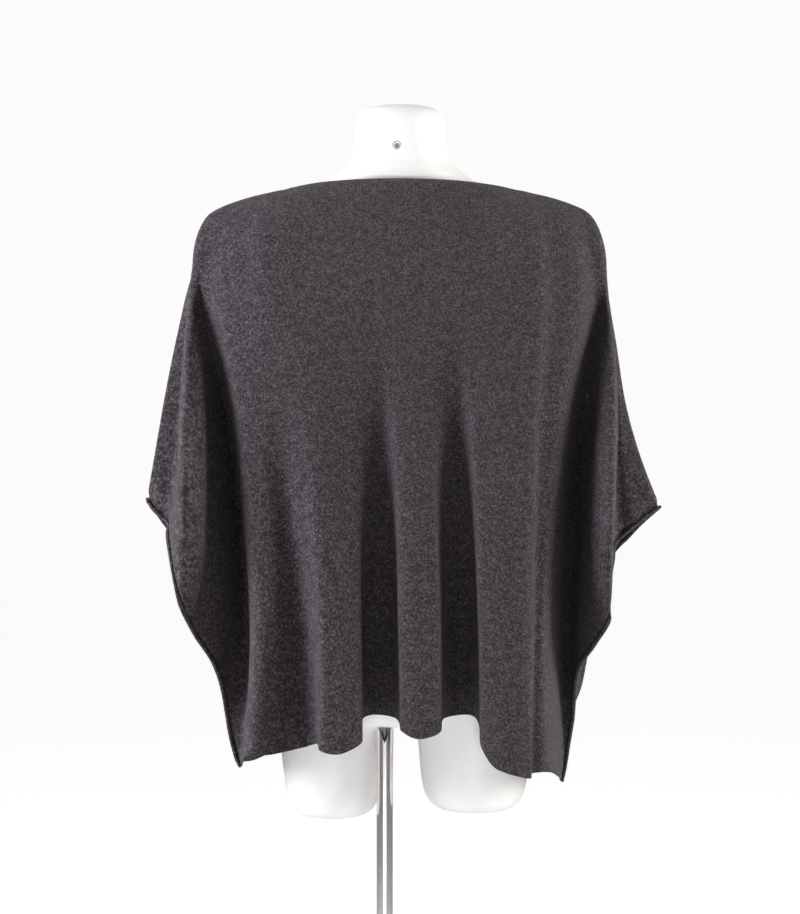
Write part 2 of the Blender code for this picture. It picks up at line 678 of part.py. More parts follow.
def tool(name, bm):
    """A shape that only cuts or joins another node."""
    helper = bpy.data.objects.new(name, to_mesh(bm, name))
    bpy.context.scene.collection.objects.link(helper)
    helper.hide_render = True
    helper.display_type = "WIRE"
    return helper


def combine(node, helper, operation):
    step = node.modifiers.new(helper.name, "BOOLEAN")
    step.operation = operation
    step.object = helper
    step.solver = "EXACT"


def build_form(material):
    """Torso, neck and thigh stumps in one shell, with the flat and the hole behind the neck."""
    form = place("torso_form", to_mesh(loft(TORSO_RINGS, FORM_SIDES), "torso_form"), material)
    for name, rings in (("left_thigh", LEFT_THIGH_RINGS), ("right_thigh", RIGHT_THIGH_RINGS)):
        combine(form, tool(name, loft(rings, THIGH_SIDES, turn=0.5)), "UNION")
    half = NECK_FLAT_SIZE / 2
    flat = bmesh.new()
    bmesh.ops.create_cube(flat, size=NECK_FLAT_SIZE)
    bmesh.ops.translate(
        flat, verts=flat.verts, vec=(0.0, NECK_FLAT_DEPTH + half, NECK_FLAT_FOOT + half)
    )
    profile = (
        (0.0, -HOLE_DEPTH),
        (HOLE_RADIUS, -HOLE_DEPTH),
        (HOLE_RADIUS, half),
        (0.0, half),
    )
    hole = turned(profile, BUSH_SIDES)
    lay_along_back(hole)
    cutter = tool("neck_flat", flat)
    combine(cutter, tool("neck_hole", hole), "UNION")
    combine(form, cutter, "DIFFERENCE")


def lay_along_back(bm):
    """Turn a shape made along +Z to point out of the flat behind the neck."""
    quarter_turn = Matrix.Rotation(-math.pi / 2, 3, "X")
    bmesh.ops.rotate(bm, verts=bm.verts, cent=(0, 0, 0), matrix=quarter_turn)
    bmesh.ops.translate(bm, verts=bm.verts, vec=(HOLE_X, NECK_FLAT_DEPTH, HOLE_HEIGHT))


def build_bush(material):
    """Metal bush at the bottom of the hole behind the neck."""
    floor = -HOLE_DEPTH + REST_GAP
    profile = (
        (BUSH_BORE, floor),
        (BUSH_RADIUS, floor),
        (BUSH_RADIUS, floor + BUSH_LENGTH),
        (BUSH_BORE, floor + BUSH_LENGTH),
    )
    bush = turned(profile, BUSH_SIDES)
    lay_along_back(bush)
    place("neck_bush", to_mesh(bush, "neck_bush"), material)


def build_pole(material):
    """Tube from the base plate to the underside of the form, notched behind its top."""
    foot = PLATE_THICKNESS + REST_GAP
    profile = (
        (TUBE_BORE, foot),
        (TUBE_RADIUS, foot),
        (TUBE_RADIUS, TUBE_TOP - TUBE_TAPER),
        (TUBE_FLARE, TUBE_TOP - TUBE_LIP),
        (TUBE_FLARE, TUBE_TOP),
        (TUBE_FLARE - TUBE_RADIUS + TUBE_BORE, TUBE_TOP),
        (TUBE_BORE, TUBE_TOP - TUBE_TAPER / 2),
    )
    pole = turned(profile, TUBE_SIDES)
    bmesh.ops.translate(pole, verts=pole.verts, vec=(TUBE_X, TUBE_Y, 0))
    node = place("pole", to_mesh(pole, "pole"), material)
    wedge = bmesh.new()
    outline = (
        (TUBE_X, TUBE_TOP - NOTCH_DEPTH),
        (TUBE_X + NOTCH_HALF, TUBE_TOP + PAST),
        (TUBE_X - NOTCH_HALF, TUBE_TOP + PAST),
    )
    near = [wedge.verts.new((x, TUBE_Y + PAST, z)) for x, z in outline]
    front = wedge.faces.new(near)
    grown = bmesh.ops.extrude_face_region(wedge, geom=[front])
    far = [v for v in grown["geom"] if isinstance(v, bmesh.types.BMVert)]
    bmesh.ops.translate(wedge, verts=far, vec=(0, 2 * TUBE_FLARE, 0))
    bmesh.ops.recalc_face_normals(wedge, faces=wedge.faces)
    combine(node, tool("pole_notch", wedge), "DIFFERENCE")


def build_collar(material):
    """Ring that clamps the tube's foot on the base plate."""
    foot = PLATE_THICKNESS + REST_GAP
    bore = TUBE_RADIUS + REST_GAP
    top = foot + COLLAR_HEIGHT
    profile = (
        (bore, foot),
        (COLLAR_RADIUS, foot),
        (COLLAR_RADIUS, top - COLLAR_CHAMFER),
        (COLLAR_RADIUS - COLLAR_CHAMFER, top),
        (bore, top),
    )
    collar = turned(profile, TUBE_SIDES)
    bmesh.ops.translate(collar, verts=collar.verts, vec=(TUBE_X, TUBE_Y, 0))
    place("pole_collar", to_mesh(collar, "pole_collar"), material)


def build_plate(material):
    profile = (
        (0.0, 0.0),
        (PLATE_RADIUS - PLATE_EDGE, 0.0),
        (PLATE_RADIUS, PLATE_EDGE),
        (PLATE_RADIUS, PLATE_THICKNESS - PLATE_CHAMFER),
        (PLATE_RADIUS - PLATE_CHAMFER, PLATE_THICKNESS),
        (0.0, PLATE_THICKNESS),
    )
    place("base_plate", to_mesh(turned(profile, PLATE_SIDES), "base_plate"), material)


def finish(name, color, roughness, metallic):
    material = bpy.data.materials.new(name)
    material.use_nodes = True
    shader = material.node_tree.nodes["Principled BSDF"]
    shader.inputs["Base Color"].default_value = (*color, 1.0)
    shader.inputs["Roughness"].default_value = roughness
    shader.inputs["Metallic"].default_value = metallic
    material.diffuse_color = (*color, 1.0)
    return material


def main():
    for old in list(bpy.data.objects):
        bpy.data.objects.remove(old, do_unlink=True)
    knit = finish("charcoal_knit", (0.055, 0.050, 0.055), 0.95, 0.0)
    shell = finish("white_shell", (0.86, 0.86, 0.85), 0.45, 0.0)
    chrome = finish("chrome", (0.78, 0.78, 0.80), 0.12, 1.0)
    steel = finish("steel", (0.55, 0.55, 0.56), 0.35, 1.0)
    build_cloth(knit)
    build_form(shell)
    build_bush(steel)
    build_pole(chrome)
    build_collar(chrome)
    build_plate(chrome)


main()
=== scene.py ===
"""Knitted poncho sweater on a torso display form: the surfaces, their finishes and the studio.

The garment's two panels are laid again from their fold tables, finely enough to show the cloth's
own softness, with a curled edge along each armhole and a fine halo of fibre. The form is a smooth
moulded shell, and the stand is polished tube on a round plate.

Metres, +Z up. The back of the garment faces +Y, and its left in the tables is +X.
"""

import logging
import math
from dataclasses import dataclass, field
from enum import Enum
from typing import NamedTuple

import bmesh
import bpy
import numpy as np
from mathutils import Matrix, Vector


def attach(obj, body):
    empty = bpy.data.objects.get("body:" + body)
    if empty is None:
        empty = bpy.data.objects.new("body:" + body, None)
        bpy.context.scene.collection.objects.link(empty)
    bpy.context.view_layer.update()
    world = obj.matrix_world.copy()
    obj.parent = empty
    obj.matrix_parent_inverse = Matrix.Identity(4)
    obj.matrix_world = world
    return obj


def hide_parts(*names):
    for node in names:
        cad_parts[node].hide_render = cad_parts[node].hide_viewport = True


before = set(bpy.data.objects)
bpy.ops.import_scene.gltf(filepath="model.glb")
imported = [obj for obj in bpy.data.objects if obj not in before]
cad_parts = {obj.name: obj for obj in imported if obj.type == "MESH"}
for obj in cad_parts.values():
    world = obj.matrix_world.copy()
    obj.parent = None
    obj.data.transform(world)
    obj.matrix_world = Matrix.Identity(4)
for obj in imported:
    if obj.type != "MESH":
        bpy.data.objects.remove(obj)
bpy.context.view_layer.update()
LOG = logging.getLogger("poncho")
MM = 0.001

Triple = tuple[float, float, float]


class Side(Enum):
    """Which way a panel faces."""

    BACK = 1
    FRONT = -1


class Cell(Enum):
    """Which face of the jersey a finish shows."""

    KNIT = "knit"
    PURL = "purl"


class Fold(NamedTuple):
    """A fold line: where it leaves the top, then its place at each fifth of its drop."""

    name: str
    top_x: float
    x1: float
    y1: float
    x2: float
    y2: float
    x3: float
    y3: float
    x4: float
    y4: float
    opens: float = 0.0


class Edge(NamedTuple):
    """A point of the lower edge: its place across the panel, counted in folds, and in space."""

    fold: float
    x: float
    y: float
    z: float


class Ring(NamedTuple):
    """A level section of the form."""

    z: float
    middle: float
    half_width: float
    back: float
    front: float


class Crease(NamedTuple):
    """A soft trough or ridge of the cloth, between two places given as fold count and drop."""

    start_fold: float
    start_drop: float
    end_fold: float
    end_drop: float
    width: float
    height: float


# The top line of the two panels, as (x, z): shoulder, neck edge, shoulder.
TOP_LINE = (
    (-0.2270, 1.4180),
    (-0.2150, 1.4260),
    (-0.1980, 1.4335),
    (-0.1680, 1.4425),
    (-0.1350, 1.4500),
    (-0.0960, 1.4540),
    (-0.0480, 1.4562),
    (0.0000, 1.4568),
    (0.0660, 1.4560),
    (0.1050, 1.4540),
    (0.1350, 1.4500),
    (0.1680, 1.4425),
    (0.1980, 1.4335),
    (0.2150, 1.4260),
    (0.2240, 1.4205),
)

# The seam along the top of each wing, from the shoulder to the wing's corner, as (x, y, z).
LEFT_WING_SEAM = (
    (0.2240, 0.000, 1.4205),
    (0.2360, -0.0002, 1.3960),
    (0.2440, -0.002, 1.3600),
    (0.2540, -0.006, 1.3340),
    (0.2655, -0.010, 1.2867),
    (0.2800, -0.012, 1.2181),
    (0.2922, -0.012, 1.1494),
    (0.3035, -0.010, 1.0820),
)
RIGHT_WING_SEAM = (
    (-0.2270, 0.000, 1.4180),
    (-0.2370, -0.0002, 1.3960),
    (-0.2430, -0.002, 1.3600),
    (-0.2505, -0.006, 1.3180),
    (-0.2600, -0.010, 1.2650),
    (-0.2710, -0.012, 1.1960),
    (-0.2880, -0.012, 1.1340),
    (-0.3115, -0.010, 1.0725),
)

BACK_FOLDS = (
    Fold("left wing strip", 0.218, 0.2462, 0.012, 0.2560, -0.001, 0.2620, -0.003, 0.2670, -0.001),
    Fold("left wing ridge", 0.212, 0.2420, 0.052, 0.2455, 0.094, 0.2475, 0.124, 0.2480, 0.138),
    Fold("left wing valley", 0.190, 0.2285, 0.046, 0.2030, 0.024, 0.1870, 0.020, 0.1810, 0.014, 0.40),
    Fold("left body ridge", 0.166, 0.2110, 0.079, 0.1885, 0.100, 0.1755, 0.114, 0.1690, 0.122),
    Fold("left side", 0.154, 0.1850, 0.093, 0.1680, 0.113, 0.1520, 0.126, 0.1440, 0.130),
    Fold("left hollow", 0.140, 0.1590, 0.106, 0.1430, 0.117, 0.1260, 0.120, 0.1110, 0.119),
    Fold("left pleat, outer", 0.110, 0.1110, 0.113, 0.1020, 0.128, 0.0950, 0.143, 0.0888, 0.153),
    Fold("left pleat, inner", 0.072, 0.0716, 0.115, 0.0600, 0.122, 0.0510, 0.129, 0.0465, 0.137),
    Fold("middle valley, left", 0.050, 0.0490, 0.115, 0.0410, 0.120, 0.0370, 0.112, 0.0430, 0.101),
    Fold("middle valley, right", 0.026, 0.0260, 0.115, 0.0200, 0.118, 0.0110, 0.107, 0.0060, 0.098),
    Fold("middle pleat, left", 0.006, 0.0060, 0.116, 0.0050, 0.124, 0.0010, 0.136, -0.0005, 0.146),
    Fold("middle pleat, right", -0.028, -0.0290, 0.116, -0.0340, 0.124, -0.0375, 0.136, -0.0420, 0.146),
    Fold("right valley, left", -0.048, -0.0485, 0.116, -0.0500, 0.119, -0.0510, 0.111, -0.0545, 0.101),
    Fold("right valley, right", -0.066, -0.0680, 0.116, -0.0700, 0.117, -0.0780, 0.107, -0.0860, 0.097),
    Fold("right pleat, inner", -0.082, -0.0835, 0.116, -0.0860, 0.126, -0.0900, 0.138, -0.0930, 0.147),
    Fold("right pleat, outer", -0.142, -0.1610, 0.107, -0.1520, 0.122, -0.1480, 0.138, -0.1445, 0.148),
    Fold("right step", -0.156, -0.1770, 0.095, -0.1630, 0.111, -0.1570, 0.125, -0.1535, 0.133),
    Fold("right body ridge", -0.168, -0.2110, 0.079, -0.1880, 0.100, -0.1740, 0.114, -0.1675, 0.122),
    Fold("right wing valley", -0.192, -0.2305, 0.044, -0.2150, 0.022, -0.2020, 0.020, -0.1940, 0.014, 0.48),
    Fold("right wing ridge", -0.212, -0.2430, 0.050, -0.2455, 0.090, -0.2430, 0.120, -0.2400, 0.136),
    Fold("right wing strip", -0.219, -0.2450, 0.010, -0.2550, -0.002, -0.2600, -0.003, -0.2555, 0.000),
)

BACK_EDGE = (
    Edge(0.00, 0.3035, -0.0100, 1.0820),
    Edge(0.50, 0.2934, -0.0020, 1.0682),
    Edge(1.00, 0.2765, 0.0120, 1.0527),
    Edge(1.35, 0.2732, 0.0560, 1.0417),
    Edge(1.65, 0.2687, 0.0880, 1.0281),
    Edge(2.00, 0.2565, 0.1180, 0.9780),
    Edge(2.20, 0.2485, 0.1080, 0.9520),
    Edge(2.40, 0.2370, 0.0760, 0.9230),
    Edge(2.58, 0.2180, 0.0480, 0.8879),
    Edge(2.76, 0.2070, 0.0120, 0.8396),
    Edge(2.88, 0.2010, 0.0042, 0.7990),
    Edge(3.00, 0.1925, 0.0042, 0.7650),
    Edge(3.12, 0.1895, 0.0160, 0.7660),
    Edge(4.00, 0.1780, 0.1250, 0.7873),
    Edge(5.00, 0.1490, 0.1330, 0.7900),
    Edge(6.00, 0.1090, 0.1150, 0.7970),
    Edge(6.50, 0.0950, 0.1280, 0.8020),
    Edge(7.00, 0.0900, 0.1580, 0.7970),
    Edge(7.50, 0.0690, 0.1590, 0.7935),
    Edge(8.00, 0.0450, 0.1470, 0.8044),
    Edge(8.50, 0.0450, 0.1250, 0.8150),
    Edge(9.00, 0.0430, 0.1000, 0.8284),
    Edge(10.00, 0.0050, 0.0980, 0.8284),
    Edge(10.50, -0.0005, 0.1250, 0.8230),
    Edge(11.00, -0.0020, 0.1480, 0.8186),
    Edge(11.50, -0.0205, 0.1570, 0.8105),
    Edge(12.00, -0.0445, 0.1490, 0.8165),
    Edge(12.50, -0.0480, 0.1250, 0.8277),
    Edge(13.00, -0.0545, 0.1000, 0.8296),
    Edge(14.00, -0.0870, 0.0970, 0.8296),
    Edge(14.50, -0.0920, 0.1230, 0.8200),
    Edge(15.00, -0.0940, 0.1490, 0.7983),
    Edge(15.30, -0.1060, 0.1575, 0.7800),
    Edge(15.60, -0.1190, 0.1610, 0.7730),
    Edge(16.00, -0.1420, 0.1540, 0.7661),
    Edge(17.00, -0.1500, 0.1440, 0.7700),
    Edge(18.00, -0.1730, 0.1260, 0.7690),
    Edge(18.88, -0.1925, 0.0160, 0.7490),
    Edge(19.00, -0.1945, 0.0042, 0.7480),
    Edge(19.12, -0.1990, 0.0042, 0.7850),
    Edge(19.24, -0.2050, 0.0120, 0.8240),
    Edge(19.45, -0.2090, 0.0480, 0.8790),
    Edge(19.70, -0.2240, 0.0860, 0.9120),
    Edge(20.00, -0.2385, 0.1180, 0.9420),
    Edge(20.45, -0.2430, 0.0960, 0.9870),
    Edge(20.75, -0.2507, 0.0580, 1.0135),
    Edge(21.00, -0.2566, 0.0100, 1.0275),
    Edge(21.50, -0.2828, -0.0020, 1.0521),
    Edge(22.00, -0.3115, -0.0100, 1.0725),
)

FRONT_FOLDS = (
    Fold("left wing ridge", 0.212, 0.2440, -0.045, 0.2475, -0.068, 0.2530, -0.086, 0.2600, -0.098),
    Fold("left wing valley", 0.190, 0.2255, -0.032, 0.2060, -0.026, 0.1950, -0.022, 0.1900, -0.015, 0.40),
    Fold("left body ridge", 0.166, 0.2120, -0.085, 0.1950, -0.114, 0.1830, -0.127, 0.1780, -0.135),
    Fold("left hollow", 0.142, 0.1600, -0.112, 0.1480, -0.126, 0.1380, -0.123, 0.1310, -0.117),
    Fold("left pleat, outer", 0.110, 0.1080, -0.126, 0.1040, -0.141, 0.0980, -0.150, 0.0930, -0.157),
    Fold("left pleat, inner", 0.068, 0.0660, -0.130, 0.0600, -0.142, 0.0530, -0.149, 0.0470, -0.154),
    Fold("left valley, outer", 0.046, 0.0450, -0.130, 0.0400, -0.136, 0.0380, -0.126, 0.0400, -0.112),
    Fold("left valley, inner", 0.024, 0.0230, -0.130, 0.0190, -0.133, 0.0150, -0.122, 0.0120, -0.109),
    Fold("middle pleat, left", 0.004, 0.0040, -0.130, 0.0010, -0.139, 0.0010, -0.145, 0.0000, -0.150),
    Fold("middle pleat, right", -0.022, -0.0230, -0.130, -0.0290, -0.139, -0.0350, -0.145, -0.0390, -0.149),
    Fold("right valley", -0.050, -0.0510, -0.129, -0.0560, -0.132, -0.0600, -0.122, -0.0640, -0.111),
    Fold("right pleat, inner", -0.082, -0.0850, -0.128, -0.0880, -0.140, -0.0920, -0.149, -0.0970, -0.155),
    Fold("right pleat, outer", -0.134, -0.1400, -0.119, -0.1420, -0.134, -0.1430, -0.143, -0.1440, -0.149),
    Fold("right hollow", -0.152, -0.1760, -0.107, -0.1680, -0.120, -0.1640, -0.124, -0.1620, -0.123),
    Fold("right body ridge", -0.168, -0.2140, -0.083, -0.1980, -0.110, -0.1870, -0.124, -0.1820, -0.133),
    Fold("right wing valley", -0.192, -0.227, -0.033, -0.213, -0.026, -0.203, -0.022, -0.197, -0.015, 0.32),
    Fold("right wing ridge", -0.212, -0.2460, -0.048, -0.2510, -0.068, -0.2550, -0.085, -0.2590, -0.095),
)

FRONT_EDGE = (
    Edge(0.00, 0.3035, -0.0100, 1.0820),
    Edge(0.50, 0.2850, -0.0620, 1.0480),
    Edge(1.00, 0.2640, -0.1000, 1.0150),
    Edge(1.20, 0.2570, -0.0980, 0.9790),
    Edge(1.40, 0.2380, -0.0780, 0.9280),
    Edge(1.58, 0.2190, -0.0480, 0.8830),
    Edge(1.76, 0.2070, -0.0120, 0.8396),
    Edge(1.88, 0.2010, -0.0042, 0.7990),
    Edge(2.00, 0.1925, -0.0042, 0.7650),
    Edge(2.12, 0.1895, -0.0160, 0.7640),
    Edge(3.00, 0.1770, -0.1340, 0.7540),
    Edge(4.00, 0.1280, -0.1130, 0.7830),
    Edge(5.00, 0.0880, -0.1610, 0.7940),
    Edge(6.00, 0.0430, -0.1560, 0.8010),
    Edge(7.00, 0.0400, -0.1090, 0.8150),
    Edge(8.00, 0.0100, -0.1070, 0.8160),
    Edge(9.00, -0.0010, -0.1500, 0.8080),
    Edge(9.50, -0.0200, -0.1560, 0.8040),
    Edge(10.00, -0.0410, -0.1500, 0.8080),
    Edge(11.00, -0.0670, -0.1090, 0.8160),
    Edge(12.00, -0.1010, -0.1590, 0.8030),
    Edge(13.00, -0.1450, -0.1530, 0.7900),
    Edge(14.00, -0.1620, -0.1220, 0.7830),
    Edge(15.00, -0.1810, -0.1360, 0.7720),
    Edge(15.88, -0.1925, -0.0160, 0.7490),
    Edge(16.00, -0.1945, -0.0042, 0.7480),
    Edge(16.12, -0.1990, -0.0042, 0.7850),
    Edge(16.24, -0.2050, -0.0120, 0.8240),
    Edge(16.45, -0.2180, -0.0380, 0.8560),
    Edge(16.70, -0.2340, -0.0680, 0.9250),
    Edge(17.00, -0.2540, -0.0930, 0.9950),
    Edge(17.45, -0.2800, -0.0560, 1.0370),
    Edge(18.00, -0.3115, -0.0100, 1.0725),
)

TORSO_RINGS = (
    Ring(1.5490, 0.0, 0.0280, 0.0280, 0.0280),
    Ring(1.5470, 0.0, 0.0410, 0.0410, 0.0410),
    Ring(1.5420, 0.0, 0.0490, 0.0490, 0.0490),
    Ring(1.5330, 0.0, 0.0530, 0.0540, 0.0540),
    Ring(1.5180, 0.0, 0.0546, 0.0562, 0.0570),
    Ring(1.4990, 0.0, 0.0560, 0.0572, 0.0585),
    Ring(1.4870, 0.0, 0.0590, 0.0575, 0.0595),
    Ring(1.4780, 0.0, 0.0660, 0.0580, 0.0610),
    Ring(1.4700, 0.0, 0.0760, 0.0590, 0.0630),
    Ring(1.4620, 0.0, 0.0865, 0.0580, 0.0590),
    Ring(1.4560, 0.0, 0.1010, 0.0560, 0.0590),
    Ring(1.4490, 0.0, 0.1240, 0.0560, 0.0610),
    Ring(1.4413, 0.0, 0.1650, 0.0550, 0.0600),
    Ring(1.4325, 0.0, 0.1890, 0.0590, 0.0640),
    Ring(1.4220, 0.0, 0.2010, 0.0670, 0.0720),
    Ring(1.4080, 0.0, 0.2130, 0.0760, 0.0820),
    Ring(1.3860, 0.0, 0.2140, 0.0850, 0.0910),
    Ring(1.3600, 0.0, 0.2060, 0.0930, 0.0980),
    Ring(1.3250, 0.0, 0.1860, 0.0985, 0.1060),
    Ring(1.2800, 0.0, 0.1660, 0.1005, 0.1150),
    Ring(1.2250, 0.0, 0.1520, 0.0960, 0.1150),
    Ring(1.1600, 0.0, 0.1400, 0.0850, 0.1010),
    Ring(1.1000, 0.0, 0.1330, 0.0780, 0.0920),
    Ring(1.0400, -0.001, 0.1410, 0.0790, 0.0900),
    Ring(0.9800, -0.002, 0.1560, 0.0850, 0.0900),
    Ring(0.9200, -0.003, 0.1650, 0.0880, 0.0890),
    Ring(0.8750, -0.003, 0.1660, 0.0860, 0.0870),
    Ring(0.8450, -0.002, 0.1560, 0.0820, 0.0820),
    Ring(0.8250, 0.000, 0.1150, 0.0770, 0.0740),
    Ring(0.8120, 0.000, 0.0560, 0.0700, 0.0640),
)

LEFT_THIGH_RINGS = (
    Ring(0.9000, 0.079, 0.0780, 0.0790, 0.0790),
    Ring(0.8500, 0.080, 0.0790, 0.0800, 0.0790),
    Ring(0.8150, 0.080, 0.0660, 0.0780, 0.0770),
    Ring(0.7850, 0.080, 0.0630, 0.0760, 0.0750),
    Ring(0.7500, 0.080, 0.0590, 0.0720, 0.0720),
    Ring(0.7230, 0.080, 0.0545, 0.0690, 0.0690),
    Ring(0.7090, 0.080, 0.0480, 0.0620, 0.0620),
    Ring(0.7020, 0.080, 0.0370, 0.0500, 0.0500),
)

RIGHT_THIGH_RINGS = (
    Ring(0.9000, -0.084, 0.0780, 0.0790, 0.0790),
    Ring(0.8500, -0.085, 0.0790, 0.0800, 0.0790),
    Ring(0.8150, -0.088, 0.0700, 0.0780, 0.0770),
    Ring(0.7850, -0.089, 0.0670, 0.0760, 0.0750),
    Ring(0.7500, -0.089, 0.0640, 0.0720, 0.0720),
    Ring(0.7280, -0.089, 0.0595, 0.0690, 0.0690),
    Ring(0.7150, -0.089, 0.0510, 0.0600, 0.0600),
    Ring(0.7080, -0.089, 0.0370, 0.0460, 0.0460),
)

BACK_CREASES = (
    Crease(2.78, 0.05, 3.02, 0.36, 0.016, 0.0070),
    Crease(2.30, 0.20, 2.26, 1.02, 0.020, 0.0060),
    Crease(19.70, 0.25, 19.74, 1.02, 0.022, 0.0060),
    Crease(6.35, 0.50, 6.62, 0.99, 0.010, 0.0025),
    Crease(15.85, 0.62, 15.90, 0.99, 0.008, 0.0020),
)
FRONT_CREASES = (
    Crease(4.40, 0.50, 4.55, 0.98, 0.012, 0.0030),
    Crease(13.40, 0.55, 13.30, 0.98, 0.010, 0.0025),
)


# ---------------------------------------------------------------- curves


def smooth_curve(knots: np.ndarray, points: np.ndarray, at: np.ndarray) -> np.ndarray:
    """Read the smooth curve through points.

    Args:
        knots: Rising curve values, one for each point.
        points: Points that the curve passes through.
        at: Curve values to read.

    Returns:
        One point for each value of `at`.
    """
    knots, points, at = (np.asarray(a, float) for a in (knots, points, at))
    steps = np.diff(knots)
    slopes = np.diff(points, axis=0) / steps[:, None]
    tangents = np.empty_like(points)
    before, after = steps[:-1, None], steps[1:, None]
    tangents[1:-1] = (slopes[:-1] * after + slopes[1:] * before) / (before + after)
    tangents[0] = 1.5 * slopes[0] - 0.5 * tangents[1]
    tangents[-1] = 1.5 * slopes[-1] - 0.5 * tangents[-2]
    place = np.clip(np.searchsorted(knots, at, side="right") - 1, 0, len(steps) - 1)
    step = steps[place][:, None]
    t = ((at - knots[place]) / steps[place])[:, None]
    return (
        (2 * t**3 - 3 * t**2 + 1) * points[place]
        + (t**3 - 2 * t**2 + t) * step * tangents[place]
        + (3 * t**2 - 2 * t**3) * points[place + 1]
        + (t**3 - t**2) * step * tangents[place + 1]
    )


def chord_knots(points: np.ndarray, power: float = 1.0) -> np.ndarray:
    """Curve values for points, spaced by the distances between them raised to a power."""
    gaps = np.linalg.norm(np.diff(points, axis=0), axis=1)
    return np.concatenate([[0.0], np.cumsum(np.maximum(gaps, 1e-6) ** power)])


def even_points(points: np.ndarray, fractions: np.ndarray, steps: int = 400) -> np.ndarray:
    """Points at the given fractions of the length of the curve through `points`."""
    knots = chord_knots(points, 0.5)
    fine = smooth_curve(knots, points, np.linspace(knots[0], knots[-1], steps))
    length = chord_knots(fine)
    wanted = np.asarray(fractions) * length[-1]
    return np.stack([np.interp(wanted, length, fine[:, k]) for k in range(3)], axis=1)


def unit(vectors: np.ndarray) -> np.ndarray:
    """The same directions at unit length."""
    return vectors / np.maximum(np.linalg.norm(vectors, axis=-1, keepdims=True), 1e-12)


def ease(share: np.ndarray) -> np.ndarray:
    """A smooth step from 0 to 1."""
    held = np.clip(share, 0.0, 1.0)
    return held * held * (3 - 2 * held)


# ---------------------------------------------------------------- meshes


def linked(name: str, data: bpy.types.ID) -> bpy.types.Object:
    """A new object of the scene for a mesh, a lamp or a camera."""
    made = bpy.data.objects.new(name, data)
    bpy.context.scene.collection.objects.link(made)
    return made


def add_piece(
    name: str, mesh: bpy.types.Mesh, finishes: list[bpy.types.Material], slot: str, *replaced: str
) -> bpy.types.Object:
    """Dress a mesh and link it as a piece that rides on the garment's one body.

    Args:
        name: The piece's name.
        mesh: Its finished mesh, already in place and without materials.
        finishes: Its materials, in the order of its faces' material numbers.
        slot: The name of the material slot meant for it; not used.
        *replaced: CAD nodes that it stands for.

    Returns:
        The new object.
    """
    for finish in finishes:
        mesh.materials.append(finish)
    piece = linked(name, mesh)
    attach(piece, "root")
    if replaced:
        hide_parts(*replaced)
    mesh.calc_loop_triangles()
    LOG.info("%s: %d triangles", name, len(mesh.loop_triangles))
    return piece


def read_all(
    items: bpy.types.bpy_prop_collection, key: str, kind: type = np.int32, width: int = 1
) -> np.ndarray:
    """Read one property of all of a mesh's loops or points.

    Args:
        items: The loops, points or layer values.
        key: The property's name.
        kind: The type of its numbers.
        width: How many numbers each item has.

    Returns:
        The numbers in one row.
    """
    values = np.zeros(len(items) * width, kind)
    items.foreach_get(key, values)
    return values


def to_mesh(bm: bmesh.types.BMesh, name: str) -> bpy.types.Mesh:
    """Turn a bmesh into a smooth-shaded mesh and free it."""
    mesh = bpy.data.meshes.new(name)
    bm.to_mesh(mesh)
    bm.free()
    mesh.shade_smooth()
    return mesh


def applied(worked: bpy.types.Object) -> bpy.types.Mesh:
    """The mesh of an object with its modifiers applied."""
    graph = bpy.context.evaluated_depsgraph_get()
    return bpy.data.meshes.new_from_object(worked.evaluated_get(graph))


def carved(body: bmesh.types.BMesh, **cutters: bmesh.types.BMesh) -> bpy.types.Mesh:
    """Cut shapes out of a body one after the other, and free them all.

    Args:
        body: The closed body.
        **cutters: The closed shapes to cut out of it, by name.

    Returns:
        What is left of the body, without materials.
    """
    worked = linked("body", to_mesh(body, "body"))
    helpers = [worked]
    for name, cutter in cutters.items():
        helpers.append(linked(name, to_mesh(cutter, name)))
        cut = worked.modifiers.new(name, "BOOLEAN")
        cut.operation = "DIFFERENCE"
        cut.object = helpers[-1]
        cut.solver = "EXACT"
    mesh = applied(worked)
    for helper in helpers:
        bpy.data.objects.remove(helper, do_unlink=True)
    mesh.materials.clear()
    return mesh


def turned(profile: list[tuple[float, float]], steps: int) -> bmesh.types.BMesh:
    """Spin a profile round the Z axis.

    Args:
        profile: (radius, height) points; one that never touches the axis is closed on itself.
        steps: Sides of the turned shape.

    Returns:
        A closed bmesh with its faces pointing out.
    """
    bm = bmesh.new()
    chain = [bm.verts.new((radius, 0.0, height)) for radius, height in profile]
    edges = [bm.edges.new(pair) for pair in zip(chain, chain[1:])]
    if all(radius > 0 for radius, _ in profile):
        edges.append(bm.edges.new((chain[-1], chain[0])))
    bmesh.ops.spin(
        bm, geom=chain + edges, cent=(0, 0, 0), axis=(0, 0, 1),
        angle=2 * math.pi, steps=steps, use_merge=True,
    )
    bmesh.ops.remove_doubles(bm, verts=bm.verts, dist=1e-6)
    bmesh.ops.recalc_face_normals(bm, faces=bm.faces)
    return bm


def soften_edges(bm: bmesh.types.BMesh, width: float, angle: float = 30.0) -> None:
    """Round every edge that turns by more than an angle in degrees."""
    sharp = [e for e in bm.edges if e.calc_face_angle(0.0) > math.radians(angle)]
    bmesh.ops.bevel(
        bm, geom=sharp, offset=width, offset_type="OFFSET", segments=3,
        profile=0.5, affect="EDGES", material=-1, clamp_overlap=True,
    )


def relax(bm: bmesh.types.BMesh, verts: list[bmesh.types.BMVert], passes: int = 1) -> None:
    """Smooth some points of a bmesh towards their neighbours, halfway at each pass."""
    for _ in range(passes):
        bmesh.ops.smooth_vert(
            bm, verts=verts, factor=0.5, use_axis_x=True, use_axis_y=True, use_axis_z=True
        )


# ---------------------------------------------------------------- finishes


